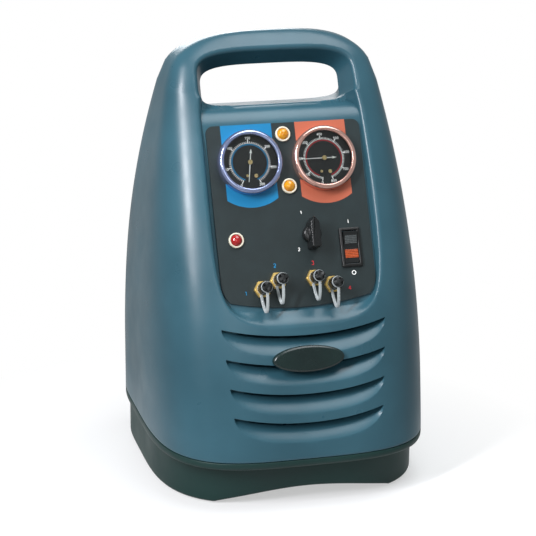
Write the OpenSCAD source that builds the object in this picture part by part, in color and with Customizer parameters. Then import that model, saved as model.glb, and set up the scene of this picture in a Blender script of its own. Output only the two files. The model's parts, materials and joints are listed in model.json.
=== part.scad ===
// Portable refrigerant recovery machine: a hollow wedge-shaped housing with a carrying arch,
// a leaning instrument panel, four capped hose ports, a compressor, a condenser and its fan.
// Millimetres. X runs to the right, Y to the back and Z up. The origin is on the floor, under the
// middle of the outline. Pieces are drawn from the body axis, which lies axis_y behind the origin.
// Panel sizes are given along the panel: u to the right, v up the slope, h outwards.

/* [Housing] */
// Half width of the housing at its foot
body_half_w = 152.5; // [146:0.5:160]
// Height of the crown of the carrying arch
body_h = 480; // [474:1:490]
// Reach of the front from the body axis, at the parting line
front_reach = 183.5; // [180:0.5:190]
// Reach of the back from the body axis, at the parting line
rear_reach = 130; // [126:1:140]
// Height of the parting line between shells and base
seam_z = 57; // [55:0.5:59]
// Plane where the front and the rear shell meet
split_y = 75; // [72:1:80]
// Wall thickness of the mouldings
wall = 4; // [3:0.5:5]
// Gap left between two mouldings
part_gap = 0.6; // [0.4:0.1:1]

/* [Base] */
// How far the skirt stands in from the side of the housing
skirt_step = 4.5; // [2.5:0.5:8]
// Reach of the skirt to the front
skirt_reach = 163; // [158:0.5:168]
// Height of the lip that carries the shells
lip_h = 8; // [6:0.5:10]
// Top of the floor inside the base
floor_top = 21; // [20:0.5:24]
// Height of the arch between the front feet
arch_h = 15; // [12:0.5:16]
// Radius of a foot pad
pad_r = 13; // [10:0.5:15]
// Height of a foot pad
pad_h = 4; // [3:0.5:6]

/* [Instrument panel] */
// Lean of the panel from the vertical, in degrees
lean = 25.3; // [24.5:0.1:26]
// Height of the panel's origin above the floor
panel_z = 300; // [298:0.5:302]
// Place of the panel's origin in front of the body axis
panel_y = -93; // [-94:0.5:-92]
// Half width of the panel plate
plate_half_w = 85; // [83:0.5:86]
// Top edge of the panel plate
plate_top = 101; // [99:0.5:103]
// Bottom edge of the panel plate
plate_bottom = -98.5; // [-100:0.5:-97]
// Thickness of the panel plate
plate_t = 2.5; // [2:0.5:3]
// Clearance of a piece in its hole in the panel
hole_gap = 0.4; // [0.2:0.1:0.6]

/* [Gauges] */
// Distance of a gauge from the middle of the panel
gauge_u = 41; // [39:0.5:43]
// Height of the gauges on the panel
gauge_v = 59.3; // [57:0.5:61]
// Outer radius of a gauge bezel
bezel_r = 35; // [33:0.5:36]
// Radius of the glass opening in the bezel
glass_r = 29.3; // [27:0.1:30]
// Height of the bezel above the panel
bezel_h = 11; // [9:0.5:13]
// Depth of the gauge case behind the panel
case_depth = 28; // [22:1:32]

/* [Controls] */
// Centre of the selector knob
knob_at = [18.3, -22];
// Radius of the selector knob's skirt
knob_r = 13.5; // [11:0.5:15]
// Height of the selector knob
knob_h = 22; // [18:0.5:26]
// Width of the knob's grip bar
knob_bar_w = 10.5; // [8:0.5:12]
// Centre of the rocker switch
switch_at = [60.5, -38.6];
// Width of the switch frame
switch_w = 22.8; // [20:0.2:25]
// Height of the switch frame
switch_l = 42.4; // [38:0.2:46]
// Outer radius of a lamp bezel
lamp_r = 8.2; // [7:0.1:9]
// Centres of the liquid, vapour and fault lamps
lamp_at = [[-1.2, 88.3], [0, 31.6], [-64, -23]];

/* [Hose ports] */
// Centres of the four ports
port_at = [[-41, -77], [-23, -69], [17, -69], [36.5, -77]];
// Thread radius of a quarter-inch flare port
port_r = 5.55; // [5:0.05:6.5]
// Length of the port in front of the panel
port_l = 17.5; // [17:0.5:18]
// Outer radius of a dust cap
cap_r = 7; // [6.8:0.1:8]
// How far the strap loop hangs below its port, for each port
strap_drop = [26, 26, 25, 26];

/* [Louvres and badge] */
// Height of the first louvre's lip, at the middle
louvre_top = 185.5; // [184:0.5:187]
// Distance from louvre to louvre
louvre_pitch = 30; // [28:0.5:31]
// Number of louvres
louvre_n = 4; // [3:1:4]
// Half length of the first louvre
louvre_half = 90; // [86:0.5:92]
// Height of a louvre scoop
louvre_h = 20; // [18:0.5:21]
// Depth of a louvre scoop
louvre_d = 12; // [9:0.5:13]
// Half width of the oval badge
badge_half_w = 39; // [35:0.5:42]
// Half height of the oval badge
badge_half_h = 14; // [12:0.5:16]

/* [Cooling] */
// Height of the fan axis
fan_z = 205; // [200:1:210]
// Tip radius of the fan
fan_r = 78; // [74:0.5:80]
// Number of fan blades
fan_blades_n = 5; // [4:1:6]
// Half width and half height of the condenser core
core_half = 95; // [92:1:98]
// Depth of the condenser core
core_d = 36; // [30:1:38]
// Front face of the condenser core
core_y = 62; // [60:0.5:64]

/* [Compressor] */
// Radius of the motor can
motor_r = 50; // [46:1:52]
// Height of the motor shaft
motor_z = 96; // [94:1:100]
// Place of the motor shaft in front of the body axis
motor_y = -72; // [-76:1:-68]
// Radius of a cylinder head
head_r = 25; // [22:0.5:27]

/* [Hidden] */
$fn = 48;
eps = 0.01;
segs = 44;
levels = 17;

gland_x = -60;
gland_z = 88;
gland_r = 8;
gland_out = 3;
axis_y = (front_reach - rear_reach - gland_out) / 2;
module from_axis() {
    translate([0, axis_y, 0]) children();
}

// The form of the housing: how its half width, front and back change with height
front_n = 3.66;
rear_n = 5;
taper_from = 120;
side_taper = 0.00036;
crown_drop = 55;
crown_n = 3;
front_slope = 0.143;
front_bow = 0.0007;
rear_from = 220;
rear_bow = 0.00145;
mid_from = 300;
mid_shift = 16;
depth_drop = 30;
depth_n = 2.5;

function crown(z, drop, n) =
    z <= body_h - drop ? 1 : pow(max(0, 1 - pow((z - body_h + drop) / drop, n)), 1 / n);
function half_w(z) =
    (body_half_w - side_taper * pow(max(0, z - taper_from), 2)) * crown(z, crown_drop, crown_n);
function mid_y(z) = mid_shift * pow(max(0, z - mid_from) / (body_h - mid_from), 2);
function front_y(z) = -front_reach + front_slope * (z - seam_z) + front_bow * pow(z - seam_z, 2);
function rear_y(z) = rear_reach - rear_bow * pow(max(0, z - rear_from), 2);
function front_f(z) = (mid_y(z) - front_y(z)) * crown(z, depth_drop, depth_n);
function rear_f(z) = (rear_y(z) - mid_y(z)) * crown(z, depth_drop, depth_n);
// The front surface at a distance x from the middle
function skin_y(x, z) =
    mid_y(z) - front_f(z) * pow(1 - pow(min(0.999, abs(x) / half_w(z)), front_n), 1 / front_n);

// A ring with its own half width, reach to the front and back, middle line and exponents
function ring(z, w, f, r, m, nf, nr) = [
    for (i = [0 : segs - 1])
        let (t = 360 * i / segs, c = cos(t), s = sin(t), e = 2 / (s < 0 ? nf : nr))
            [w * sign(c) * pow(abs(c), e), m + (s < 0 ? -f : r) * pow(abs(s), e), z]
];
function body_ring(z, from, inset) =
    ring(z, max(1, half_w(from) - inset), max(1, front_f(from) - inset), max(1, rear_f(from) - inset),
         mid_y(from), front_n, rear_n);

// A solid through a stack of closed rings of n points each
module skin(rings) {
    n = len(rings[0]);
    last = len(rings) - 1;
    polyhedron(
        points = [for (r = rings) each r],
        faces = concat(
            [[for (i = [0 : n - 1]) i]],
            [for (k = [0 : last - 1]) for (i = [0 : n - 1])
                [k * n + i, (k + 1) * n + i, (k + 1) * n + (i + 1) % n, k * n + (i + 1) % n]],
            [[for (i = [n - 1 : -1 : 0]) last * n + i]]),
        convexity = 10);
}

// The housing's outside, or with an inset its inside; the steps get finer towards the crown
module body(inset) {
    top = body_h - 0.3;
    skin([for (i = [0 : levels])
        let (z = seam_z - 2 + (top - seam_z + 2) * (1 - pow(1 - i / levels, 1.8)))
            body_ring(z - inset, z, inset)]);
}

module on_panel(h = 0) {
    translate([0, panel_y, panel_z]) rotate([90 - lean, 0, 0]) translate([0, 0, h]) children();
}
module at_panel(p, h = 0) {
    on_panel(h) translate([p[0], p[1], 0]) children();
}

// Recess round the panel: a drafted well whose rim follows the housing
recess_floor = -plate_t;
recess_margin = 2.5;
recess_draft = 0.42;
recess_top = 186;
recess_toe = 1.5;
toe_slope = 1.6;
// The lower corners are fuller at the floor, where the plate fills them, than at the rim
function recess_n(h) = 4.4 + 3.6 * max(0, 1 - (h - recess_floor) / 10);
function recess_ring(h, grow) =
    let (half = plate_half_w + recess_margin + recess_draft * (h - recess_floor),
         low = plate_bottom - recess_toe - toe_slope * (h - recess_floor),
         mid = (recess_top + plate_bottom) / 2)
        ring(h, half + grow, mid - low + grow, recess_top - mid + grow, mid, recess_n(h), 5.5);
module recess(grow = 0) {
    on_panel() skin([for (h = [recess_floor - grow, 3, 8, 14, 40]) recess_ring(h, grow)]);
}

// Hand opening under the arch: it narrows to a waist and widens again towards the back
waist_h = -36;
waist_half = 77.5;
waist_low = 127;
waist_high = 175.4;
throat_h = -14;
throat_half = 81;
throat_low = 121;
throat_high = 179;
mouth_h = 8;
mouth_half = 92;
mouth_low = 106;
mouth_high = 189;
exit_y = 110;
exit_half = 111;
exit_low = 380;
exit_high = 440;
function hand_ring(half, low, high) =
    ring(0, half, (high - low) / 2, (high - low) / 2, (high + low) / 2, 6, 3.6);
function hand_at(h, half, low, high) = [for (p = hand_ring(half, low, high)) on_plate(p[0], p[1], h)];
function hand_exit(half, low, high) = [for (p = hand_ring(half, low, high)) [p[0], exit_y, p[1]]];
module hand_opening(grow = 0) {
    skin([
        hand_exit(exit_half + grow, exit_low - grow, exit_high + grow),
        hand_at(waist_h, waist_half + grow, waist_low - grow, waist_high + grow),
        hand_at(throat_h, throat_half + grow, throat_low - grow, throat_high + grow),
        hand_at(mouth_h, mouth_half + grow, mouth_low - grow, mouth_high + grow)]);
}

// Louvre scoops: each follows a smile across the front, deep under its lip and running out below
louvre_sag = 9.5;
louvre_shrink = 2.6;
louvre_steps = 14;
slot_h = 6;
slot_steps = 12;
function louvre_z(k) = louvre_top - k * louvre_pitch;
function louvre_l(k) = louvre_half - k * louvre_shrink;
function louvre_lip(k, x) = louvre_z(k) + louvre_sag * pow(x / louvre_l(k), 2);
function louvre_fade(k, x) = pow(max(0, 1 - pow(abs(x) / louvre_l(k), 4)), 0.5);
function louvre_section(k, x, grow) =
    let (a = louvre_fade(k, x), top = louvre_lip(k, x) + grow,
         low = louvre_lip(k, x) - (louvre_h * a + 0.6) - grow, deep = louvre_d * a + 0.3 + grow)
        [[skin_y(x, low) - 6, low], [skin_y(x, low) + grow, low],
         [skin_y(x, top) + deep * 0.8, top - slot_h], [skin_y(x, top) + deep, top - 0.5],
         [skin_y(x, top) - 6, top]];
function louvre_ring(k, x, grow) = [for (p = louvre_section(k, x, grow)) [x, p[0], p[1]]];
module louvre(k, grow = 0) {
    skin([for (i = [0 : louvre_steps])
        louvre_ring(k, (louvre_l(k) + grow) * sin(-90 + 180 * i / louvre_steps), grow)]);
}
// The open slot under a louvre's lip: a round-ended cut that follows the smile
slot_reach = 0.8;
slot_d = 4.8;
module slot_pin(k, x) {
    translate([x, skin_y(0, louvre_z(k)) - 1, louvre_lip(k, x) - slot_d / 2 - 0.6]) rotate([-90, 0, 0])
        cylinder(d = slot_d, h = louvre_d + 5 * wall, $fn = 12);
}
module louvre_slot(k) {
    pitch = 2 * slot_reach * louvre_l(k) / slot_steps;
    for (i = [0 : slot_steps - 1]) hull() {
        slot_pin(k, (i - slot_steps / 2) * pitch);
        slot_pin(k, (i + 1 - slot_steps / 2) * pitch);
    }
}

// Screw posts that draw the rear shell onto the front one: [side, height]
screw_z = [105, 240, 320];
screw_r = 2;
post_r = 9.6;
post_l = 26;
post_in = 13;
function post_x(z) = half_w(z) - post_in;
module at_posts() {
    for (side = [-1, 1]) for (z = screw_z)
        translate([side * post_x(z), split_y, z]) rotate([-90, 0, 0]) children();
}

window_ledge = 4;
// Top of the rear shell, under the floor of the hand opening; above it the front shell closes the arch
back_top = exit_low - wall;

module front_shell() {
    color([0.29, 0.42, 0.47]) from_axis() difference() {
        intersection() {
            body(0);
            union() {
                translate([-400, -400, seam_z]) cube([800, 400 + split_y - part_gap / 2, 600]);
                translate([-400, -400, back_top + part_gap / 2]) cube([800, 800, 600]);
            }
        }
        difference() {
            body(wall);
            recess(wall);
            hand_opening(wall);
            for (k = [0 : louvre_n - 1]) louvre(k, wall);
            at_posts() translate([0, 0, -post_l]) cylinder(r = post_r, h = post_l);
        }
        recess();
        hand_opening();
        for (k = [0 : louvre_n - 1]) {
            louvre(k);
            louvre_slot(k);
        }
        on_panel(recess_floor - 3 * wall) linear_extrude(3 * wall + 1)
            offset(delta = -window_ledge) plate_outline();
        at_posts() translate([0, 0, -post_l + 4]) cylinder(r = screw_r + 0.1, h = post_l);
    }
}

// Exhaust slots in the back, in front of the condenser
grille_n = 9;
grille_half = 82;
grille_slot = 8;
module rear_shell() {
    color([0.2, 0.27, 0.26]) from_axis() difference() {
        intersection() {
            body(0);
            translate([-400, split_y + part_gap / 2, seam_z])
                cube([800, 400, back_top - part_gap / 2 - seam_z]);
        }
        difference() {
            body(wall);
            at_posts() cylinder(r = post_r, h = 200);
        }
        for (i = [0 : grille_n - 1])
            translate([0, 200, fan_z - core_half + 2 * core_half * (i + 0.5) / grille_n]) rotate([90, 0, 0])
                linear_extrude(120) grille_slot_outline();
        at_posts() {
            translate([0, 0, -1]) cylinder(r = screw_r + 0.1, h = 20);
            translate([0, 0, 6]) cylinder(r = 2.4 * screw_r, h = 200);
        }
        translate([gland_x, 0, gland_z]) rotate([-90, 0, 0]) cylinder(r = gland_r + 0.1, h = 200);
    }
}
module grille_slot_outline() {
    square([2 * grille_half - grille_slot, grille_slot], center = true);
    for (s = [-1, 1]) translate([s * (grille_half - grille_slot / 2), 0]) circle(d = grille_slot);
}

module shell_screws() {
    color([0.3, 0.3, 0.31]) from_axis() at_posts() {
        translate([0, 0, -post_l + 6]) cylinder(r = screw_r, h = post_l);
        difference() {
            translate([0, 0, 6]) cylinder(r = 2 * screw_r, h = 3);
            for (a = [0, 90]) rotate(a) translate([-2.4, -0.4, 7.6]) cube([4.8, 0.8, 3]);
        }
    }
}

// Base: a skirt on four feet with a lip that carries the shells
skirt_n = 3.2;
skirt_half_w = body_half_w - skirt_step;
skirt_foot = 1.5;
skirt_edge = 3;
skirt_rear = rear_reach - 4;
lip_z = seam_z - lip_h;
function skirt_ring(z, inset) =
    ring(z, skirt_half_w - inset, skirt_reach - inset, skirt_rear - inset, 0, skirt_n, rear_n);
function lip_ring(z, inset) =
    ring(z, body_half_w - inset, front_reach - inset, rear_reach - inset, 0, front_n, rear_n);
arch_half = 98;
foot_at = [[-100, -90], [100, -90], [-106, 80], [106, 80]];
module base_tray() {
    color([0.21, 0.28, 0.27]) from_axis() difference() {
        union() {
            difference() {
                skin([skirt_ring(skirt_foot, skirt_edge), skirt_ring(skirt_foot + 1, 0.3 * skirt_edge),
                      skirt_ring(skirt_foot + skirt_edge, 0), skirt_ring(lip_z - 4, 0),
                      lip_ring(lip_z, 3), lip_ring(lip_z + 3, 0), lip_ring(seam_z - part_gap, 0)]);
                skin([skirt_ring(-1, skirt_edge + wall), skirt_ring(floor_top - wall, wall)]);
                skin([skirt_ring(floor_top, wall), skirt_ring(lip_z - 1, wall), lip_ring(lip_z + 3, wall),
                      lip_ring(seam_z + 1, wall)]);
            }
            for (p = foot_at)
                translate([p[0], p[1], pad_h]) cylinder(r = pad_r + 4, h = floor_top - pad_h - eps);
        }
        translate([0, 300, 0]) rotate([90, 0, 0]) linear_extrude(600) arch_outline();
    }
}
// The arch is as high in the middle of the front as at the back, and dies away at the feet
module arch_outline() {
    steps = 16;
    polygon(concat([[-arch_half, -5]],
        [for (i = [0 : steps])
            let (x = arch_half * (2 * i / steps - 1))
                [x, arch_h * pow(max(0, cos(90 * x / arch_half)), 0.8) + eps]],
        [[arch_half, -5]]));
}
module foot_pads() {
    color([0.07, 0.07, 0.07]) from_axis() for (p = foot_at)
        translate([p[0], p[1], 0]) cylinder(r = pad_r, h = pad_h);
}

// Oval badge on the band between the first two louvres
badge_z = 162;
badge_t = 6;
badge_bevel = 2.5;
function oval(z, inset) =
    ring(z, badge_half_w - inset, badge_half_h - inset, badge_half_h - inset, 0, 2, 2);
module badge_plate() {
    tilt = atan((front_y(badge_z + 10) - front_y(badge_z - 10)) / 20);
    color([0.08, 0.15, 0.14]) from_axis()
        translate([0, front_y(badge_z) - 0.3, badge_z]) rotate([90 - tilt, 0, 0])
            skin([oval(0, 0), oval(badge_t - badge_bevel / 2, 0), oval(badge_t, badge_bevel)]);
}

// Panel plate: straight sides, small corners above, large ones below and a gently bowed lower edge
corner_top = 8;
corner_low = 30;
low_bow_r = 330;
module plate_outline() {
    intersection() {
        union() {
            translate([-plate_half_w, plate_bottom + corner_low])
                square([2 * plate_half_w, plate_top - corner_top - plate_bottom - corner_low]);
            translate([-plate_half_w + corner_top, 0]) square([2 * (plate_half_w - corner_top), plate_top]);
            translate([-plate_half_w + corner_low, plate_bottom])
                square([2 * (plate_half_w - corner_low), -plate_bottom]);
            for (s = [-1, 1]) {
                translate([s * (plate_half_w - corner_top), plate_top - corner_top]) circle(r = corner_top);
                translate([s * (plate_half_w - corner_low), plate_bottom + corner_low])
                    circle(r = corner_low);
            }
        }
        translate([0, plate_bottom + low_bow_r]) circle(r = low_bow_r, $fn = 96);
    }
}
module control_panel() {
    color([0.16, 0.17, 0.18]) from_axis() on_panel(-plate_t) difference() {
        linear_extrude(plate_t) plate_outline();
        translate([0, 0, -1]) linear_extrude(plate_t + 2) {
            for (s = [-1, 1]) translate([s * gauge_u, gauge_v]) circle(r = case_r + hole_gap);
            for (p = lamp_at) translate(p) circle(r = holder_r + hole_gap);
            for (p = port_at) translate(p) circle(r = shank_r + hole_gap);
            translate(knob_at) circle(r = stem_r + hole_gap);
            translate(switch_at)
                square([switch_body_w + 2 * hole_gap, switch_body_l + 2 * hole_gap], center = true);
        }
    }
}

// Gauge: a cup behind the panel, a dial on its rim, a pointer on a thin spindle, glass and bezel
case_r = bezel_r - 4.5;
case_wall = 2;
case_rim = 1.5;
dial_t = 1;
spindle_r = 0.8;
run_gap = 0.08;
lens_t = 2;
lens_top = bezel_h - 1.5;
pointer_h = case_rim + dial_t + 1.5;
pointer_l = 24;
tail_l = 12;
low_reading = 171;
high_reading = 90;
module gauge_case(side) {
    color([0.12, 0.12, 0.13]) from_axis() at_panel([side * gauge_u, gauge_v], -case_depth) difference() {
        cylinder(r = case_r, h = case_depth + case_rim);
        difference() {
            translate([0, 0, case_wall + 1]) cylinder(r = case_r - case_wall, h = case_depth + 10);
            cylinder(r = 5, h = case_depth - 3);
        }
        translate([0, 0, case_depth - 14]) cylinder(r = spindle_r + run_gap, h = 20);
    }
}
module gauge_dial(side) {
    color([0.04, 0.04, 0.05]) from_axis() at_panel([side * gauge_u, gauge_v], case_rim) difference() {
        cylinder(r = case_r - 0.1, h = dial_t);
        translate([0, 0, -1]) cylinder(r = spindle_r + 0.4, h = dial_t + 2);
    }
}
module gauge_pointer(side, reading) {
    color([0.93, 0.93, 0.9]) from_axis() at_panel([side * gauge_u, gauge_v], pointer_h) rotate(reading) {
        translate([0, 0, -12]) cylinder(r = spindle_r, h = 13);
        cylinder(r = 3, h = 2);
        linear_extrude(0.8) polygon([[-1.1, 0], [-0.5, pointer_l], [0.5, pointer_l], [1.1, 0], [1.1, -5],
            [3, -7], [0, -tail_l], [-3, -7], [-1.1, -5]]);
    }
}
module gauge_bezel(side) {
    color([0.8, 0.82, 0.84]) from_axis() at_panel([side * gauge_u, gauge_v]) rotate_extrude()
        polygon([[case_r + 0.2, 0], [bezel_r, 0], [bezel_r, bezel_h - 5], [bezel_r - 1, bezel_h - 1.8],
            [bezel_r - 2.8, bezel_h], [glass_r + 1, bezel_h], [glass_r, lens_top + 0.6], [glass_r, lens_top],
            [case_r + 0.2, lens_top]]);
}
module gauge_lens(side) {
    color([0.85, 0.9, 0.92, 0.3]) from_axis() at_panel([side * gauge_u, gauge_v], lens_top - lens_t)
        cylinder(r = case_r, h = lens_t);
}
module low_gauge_case() gauge_case(-1);
module low_gauge_dial() gauge_dial(-1);
module low_gauge_pointer() gauge_pointer(-1, low_reading);
module low_gauge_bezel() gauge_bezel(-1);
module low_gauge_lens() gauge_lens(-1);
module high_gauge_case() gauge_case(1);
module high_gauge_dial() gauge_dial(1);
module high_gauge_pointer() gauge_pointer(1, high_reading);
module high_gauge_bezel() gauge_bezel(1);
module high_gauge_lens() gauge_lens(1);

// Indicator lamps: a holder through the panel, a bezel ring and a domed lens
holder_r = 5.4;
holder_l = 22;
lens_r = lamp_r - 2.2;
bezel_ring_h = 2.4;
module lamp_bezels() {
    color([0.85, 0.84, 0.78]) from_axis() for (p = lamp_at) at_panel(p) rotate_extrude()
        polygon([[lens_r + 0.2, 0], [lamp_r, 0], [lamp_r, bezel_ring_h - 1], [lamp_r - 1, bezel_ring_h],
            [lens_r + 0.2, bezel_ring_h]]);
}
module lamp_holders() {
    color([0.2, 0.2, 0.2]) from_axis() for (p = lamp_at)
        at_panel(p, -holder_l) cylinder(r = holder_r, h = holder_l);
}
module lamp_lens(i) {
    dome = 5;
    ball = (lens_r * lens_r + dome * dome) / (2 * dome);
    from_axis() at_panel(lamp_at[i]) {
        cylinder(r = lens_r, h = 1);
        translate([0, 0, 1]) intersection() {
            translate([0, 0, dome - ball]) sphere(r = ball);
            cylinder(r = lens_r, h = dome + 1);
        }
    }
}
module liquid_lamp_lens() color([1, 0.62, 0.1]) lamp_lens(0);
module vapour_lamp_lens() color([1, 0.62, 0.1]) lamp_lens(1);
module fault_lamp_lens() color([0.85, 0.1, 0.08]) lamp_lens(2);

// Selector: a pointer knob on a stem that turns in the valve behind the panel
stem_r = 3;
knob_lift = 1;
skirt_h = 5;
bar_tip = 17;
bar_tail = 16.5;
valve_w = 30;
valve_near = 10;
valve_far = 38;
module selector_knob() {
    half = knob_bar_w / 2;
    color([0.06, 0.06, 0.07]) from_axis() at_panel(knob_at, knob_lift) difference() {
        union() {
            cylinder(r = knob_r, h = skirt_h);
            linear_extrude(knob_h - knob_lift)
                polygon([[-half, -bar_tail], [half, -bar_tail], [half, bar_tip - 6], [1, bar_tip],
                    [-1, bar_tip], [-half, bar_tip - 6]]);
        }
        translate([0, 0, -1]) cylinder(r = stem_r + 0.05, h = 15);
    }
}
module selector_stem() {
    color([0.75, 0.6, 0.3]) from_axis() at_panel(knob_at, -24) cylinder(r = stem_r, h = 24 + 14 + knob_lift);
}
module selector_valve() {
    color([0.75, 0.6, 0.3]) from_axis() at_panel(knob_at, -valve_far) difference() {
        union() {
            translate([-valve_w / 2, -valve_w / 2, 0]) cube([valve_w, valve_w, valve_far - valve_near]);
            cylinder(r = 2.5 * stem_r, h = valve_far - plate_t);
        }
        translate([0, 0, valve_far - 25]) cylinder(r = stem_r + run_gap, h = 30);
    }
}

// Rocker switch: frame on the panel, body behind it, and a rocker with two windows
switch_body_w = switch_w - 4.4;
switch_body_l = switch_l - 5;
frame_h = 3;
frame_in = 3.2;
rocker_w = switch_w - 2 * frame_in - 0.8;
rocker_l = switch_l - 2 * frame_in - 2;
rocker_tilt = 6;
face_slope = 6;
face_low = 2.4;
window_t = 0.8;
switch_depth = 28;
module switch_frame() {
    color([0.05, 0.05, 0.05]) from_axis() at_panel(switch_at) linear_extrude(frame_h) difference() {
        square([switch_w, switch_l], center = true);
        square([switch_w - 2 * frame_in, switch_l - 2 * frame_in], center = true);
    }
}
module switch_body() {
    color([0.1, 0.1, 0.1]) from_axis() at_panel(switch_at, -switch_depth) difference() {
        translate([-switch_body_w / 2, -switch_body_l / 2, 0])
            cube([switch_body_w, switch_body_l, switch_depth]);
        translate([-switch_w / 2 + frame_in, -switch_l / 2 + frame_in, switch_depth - 13])
            cube([switch_w - 2 * frame_in, switch_l - 2 * frame_in, 20]);
    }
}
// The rocker lies along v and turns about u, in the middle of the frame
module on_rocker() {
    from_axis() at_panel(switch_at) rotate([rocker_tilt, 0, 0]) children();
}
module switch_rocker() {
    half = rocker_l / 2;
    end_h = face_low + half * tan(face_slope);
    color([0.06, 0.06, 0.06]) on_rocker() rotate([90, 0, 90]) translate([0, 0, -rocker_w / 2])
        linear_extrude(rocker_w)
            polygon([[-half, -2], [0, -6], [half, -2], [half, end_h], [0, face_low], [-half, end_h]]);
}
module switch_window(side, across, along, from_middle) {
    on_rocker() translate([0, 0, face_low]) rotate([side * face_slope, 0, 0])
        translate([-across / 2, side > 0 ? from_middle : -from_middle - along, 0])
            cube([across, along, window_t]);
}
module switch_upper_window() color([0.5, 0.53, 0.53]) switch_window(1, 13, 9, 4);
module switch_lower_window() color([0.9, 0.4, 0.15]) switch_window(-1, 14.5, 9, 2.5);

// Flare ports: hexagon on the panel, thread in front, shank behind into the manifold
hex_r = 9.6;
hex_h = 4.5;
shank_r = 7;
manifold_far = 34;
manifold_near = 14;
manifold_v = (port_at[0][1] + port_at[1][1]) / 2;
manifold_h = -(manifold_far + manifold_near) / 2;
nut_h = 5;
module port_fittings() {
    color([0.78, 0.62, 0.28]) from_axis() for (p = port_at) at_panel(p) difference() {
        union() {
            translate([0, 0, -manifold_far + 2]) cylinder(r = shank_r, h = manifold_far - 2);
            cylinder(r = hex_r, h = hex_h, $fn = 6);
            cylinder(r = port_r, h = port_l - 3);
            translate([0, 0, port_l - 3]) cylinder(r1 = port_r, r2 = port_r - 2, h = 3);
        }
        translate([0, 0, -manifold_far]) cylinder(r = 2.2, h = manifold_far + port_l + 1);
    }
}
module port_nuts() {
    color([0.7, 0.56, 0.26]) from_axis() for (p = port_at) at_panel(p, -plate_t - nut_h) difference() {
        cylinder(r = shank_r + 2.6, h = nut_h, $fn = 6);
        translate([0, 0, -1]) cylinder(r = shank_r + 0.05, h = nut_h + 2);
    }
}
// Dust cap: a cup over the thread, a neck for the strap's eye and an end with a cross grip
eye_t = 2.2;
eye_gap = 0.2;
cap_from = hex_h + eye_t + 2 * eye_gap + 0.2;
cap_end = port_l + 1.3;
neck_r = 4;
neck_h = eye_t + 2 * eye_gap;
grip_r = 5.6;
module dust_cap(i) {
    color([0.07, 0.07, 0.07]) from_axis() at_panel(port_at[i]) {
        difference() {
            translate([0, 0, cap_from]) cylinder(r = cap_r, h = cap_end - cap_from);
            translate([0, 0, cap_from - 1]) cylinder(r = port_r + run_gap, h = port_l + 0.3 - cap_from + 1);
        }
        translate([0, 0, cap_end]) cylinder(r = neck_r, h = neck_h);
        translate([0, 0, cap_end + neck_h]) cylinder(r = grip_r, h = 1.2);
        translate([0, 0, cap_end + neck_h]) intersection() {
            cylinder(r = grip_r, h = 3.4);
            for (a = [0, 90]) rotate(a + 20) translate([-grip_r, -2, 0]) cube([2 * grip_r, 4, 3.4]);
        }
    }
}
module strap_eye(i) {
    color([0.72, 0.74, 0.72]) from_axis() at_panel(port_at[i], cap_end + eye_gap) difference() {
        cylinder(r = cap_r, h = eye_t);
        translate([0, 0, -1]) cylinder(r = neck_r + 0.2, h = eye_t + 2);
    }
}
module tank_liquid_cap() dust_cap(0);
module system_liquid_cap() dust_cap(1);
module tank_vapour_cap() dust_cap(2);
module system_vapour_cap() dust_cap(3);
module tank_liquid_eye() strap_eye(0);
module system_liquid_eye() strap_eye(1);
module tank_vapour_eye() strap_eye(2);
module system_vapour_eye() strap_eye(3);
// Strap: an eye round the port's neck and a loop that hangs to the eye on the cap
strap_w = 5;
strap_t = 1.5;
strap_steps = 14;
strap_top = grip_r + 0.75;
strap_end = cap_r + 2 * eye_gap + strap_t / 2;
function strap_line(t, drop) =
    let (top = strap_top + t * (strap_end - strap_top))
        [-top - (drop - top) * pow(sin(180 * t), 0.8),
         hex_h + eye_gap + eye_t / 2 + t * (cap_end - hex_h)];
function strap_side(t, drop, side) =
    let (a = strap_line(max(0, t - 0.02), drop), b = strap_line(min(1, t + 0.02), drop),
         d = (b - a) / norm(b - a))
        strap_line(t, drop) + side * strap_t / 2 * [-d[1], d[0]];
module cap_straps() {
    color([0.72, 0.74, 0.72]) from_axis() for (i = [0 : 3]) at_panel(port_at[i]) {
        translate([0, 0, hex_h + eye_gap]) difference() {
            cylinder(r = strap_top + 0.6, h = eye_t);
            translate([0, 0, -1]) cylinder(r = port_r + 0.15, h = eye_t + 2);
        }
        rotate([90, 0, 90]) translate([0, 0, -strap_w / 2]) linear_extrude(strap_w)
            polygon(concat([for (k = [0 : strap_steps]) strap_side(k / strap_steps, strap_drop[i], 1)],
                [for (k = [strap_steps : -1 : 0]) strap_side(k / strap_steps, strap_drop[i], -1)]));
    }
}
module valve_manifold() {
    left = port_at[0][0] - 13;
    right = port_at[3][0] + 13;
    low = port_at[0][1] - 11;
    high = port_at[1][1] + 11;
    color([0.7, 0.72, 0.74]) from_axis() on_panel(-manifold_far) difference() {
        translate([left, low, 0]) cube([right - left, high - low, manifold_far - manifold_near]);
        for (p = port_at) translate([p[0], p[1], 2]) cylinder(r = shank_r + 0.05, h = 60);
    }
}
module pressure_switch() {
    color([0.75, 0.6, 0.3]) from_axis() at_panel([port_at[3][0] + 13, manifold_v], manifold_h)
        rotate([0, 90, 0]) {
            cylinder(r = 5, h = 8);
            translate([0, 0, 8]) cylinder(r = 9, h = 14);
        }
}

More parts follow.
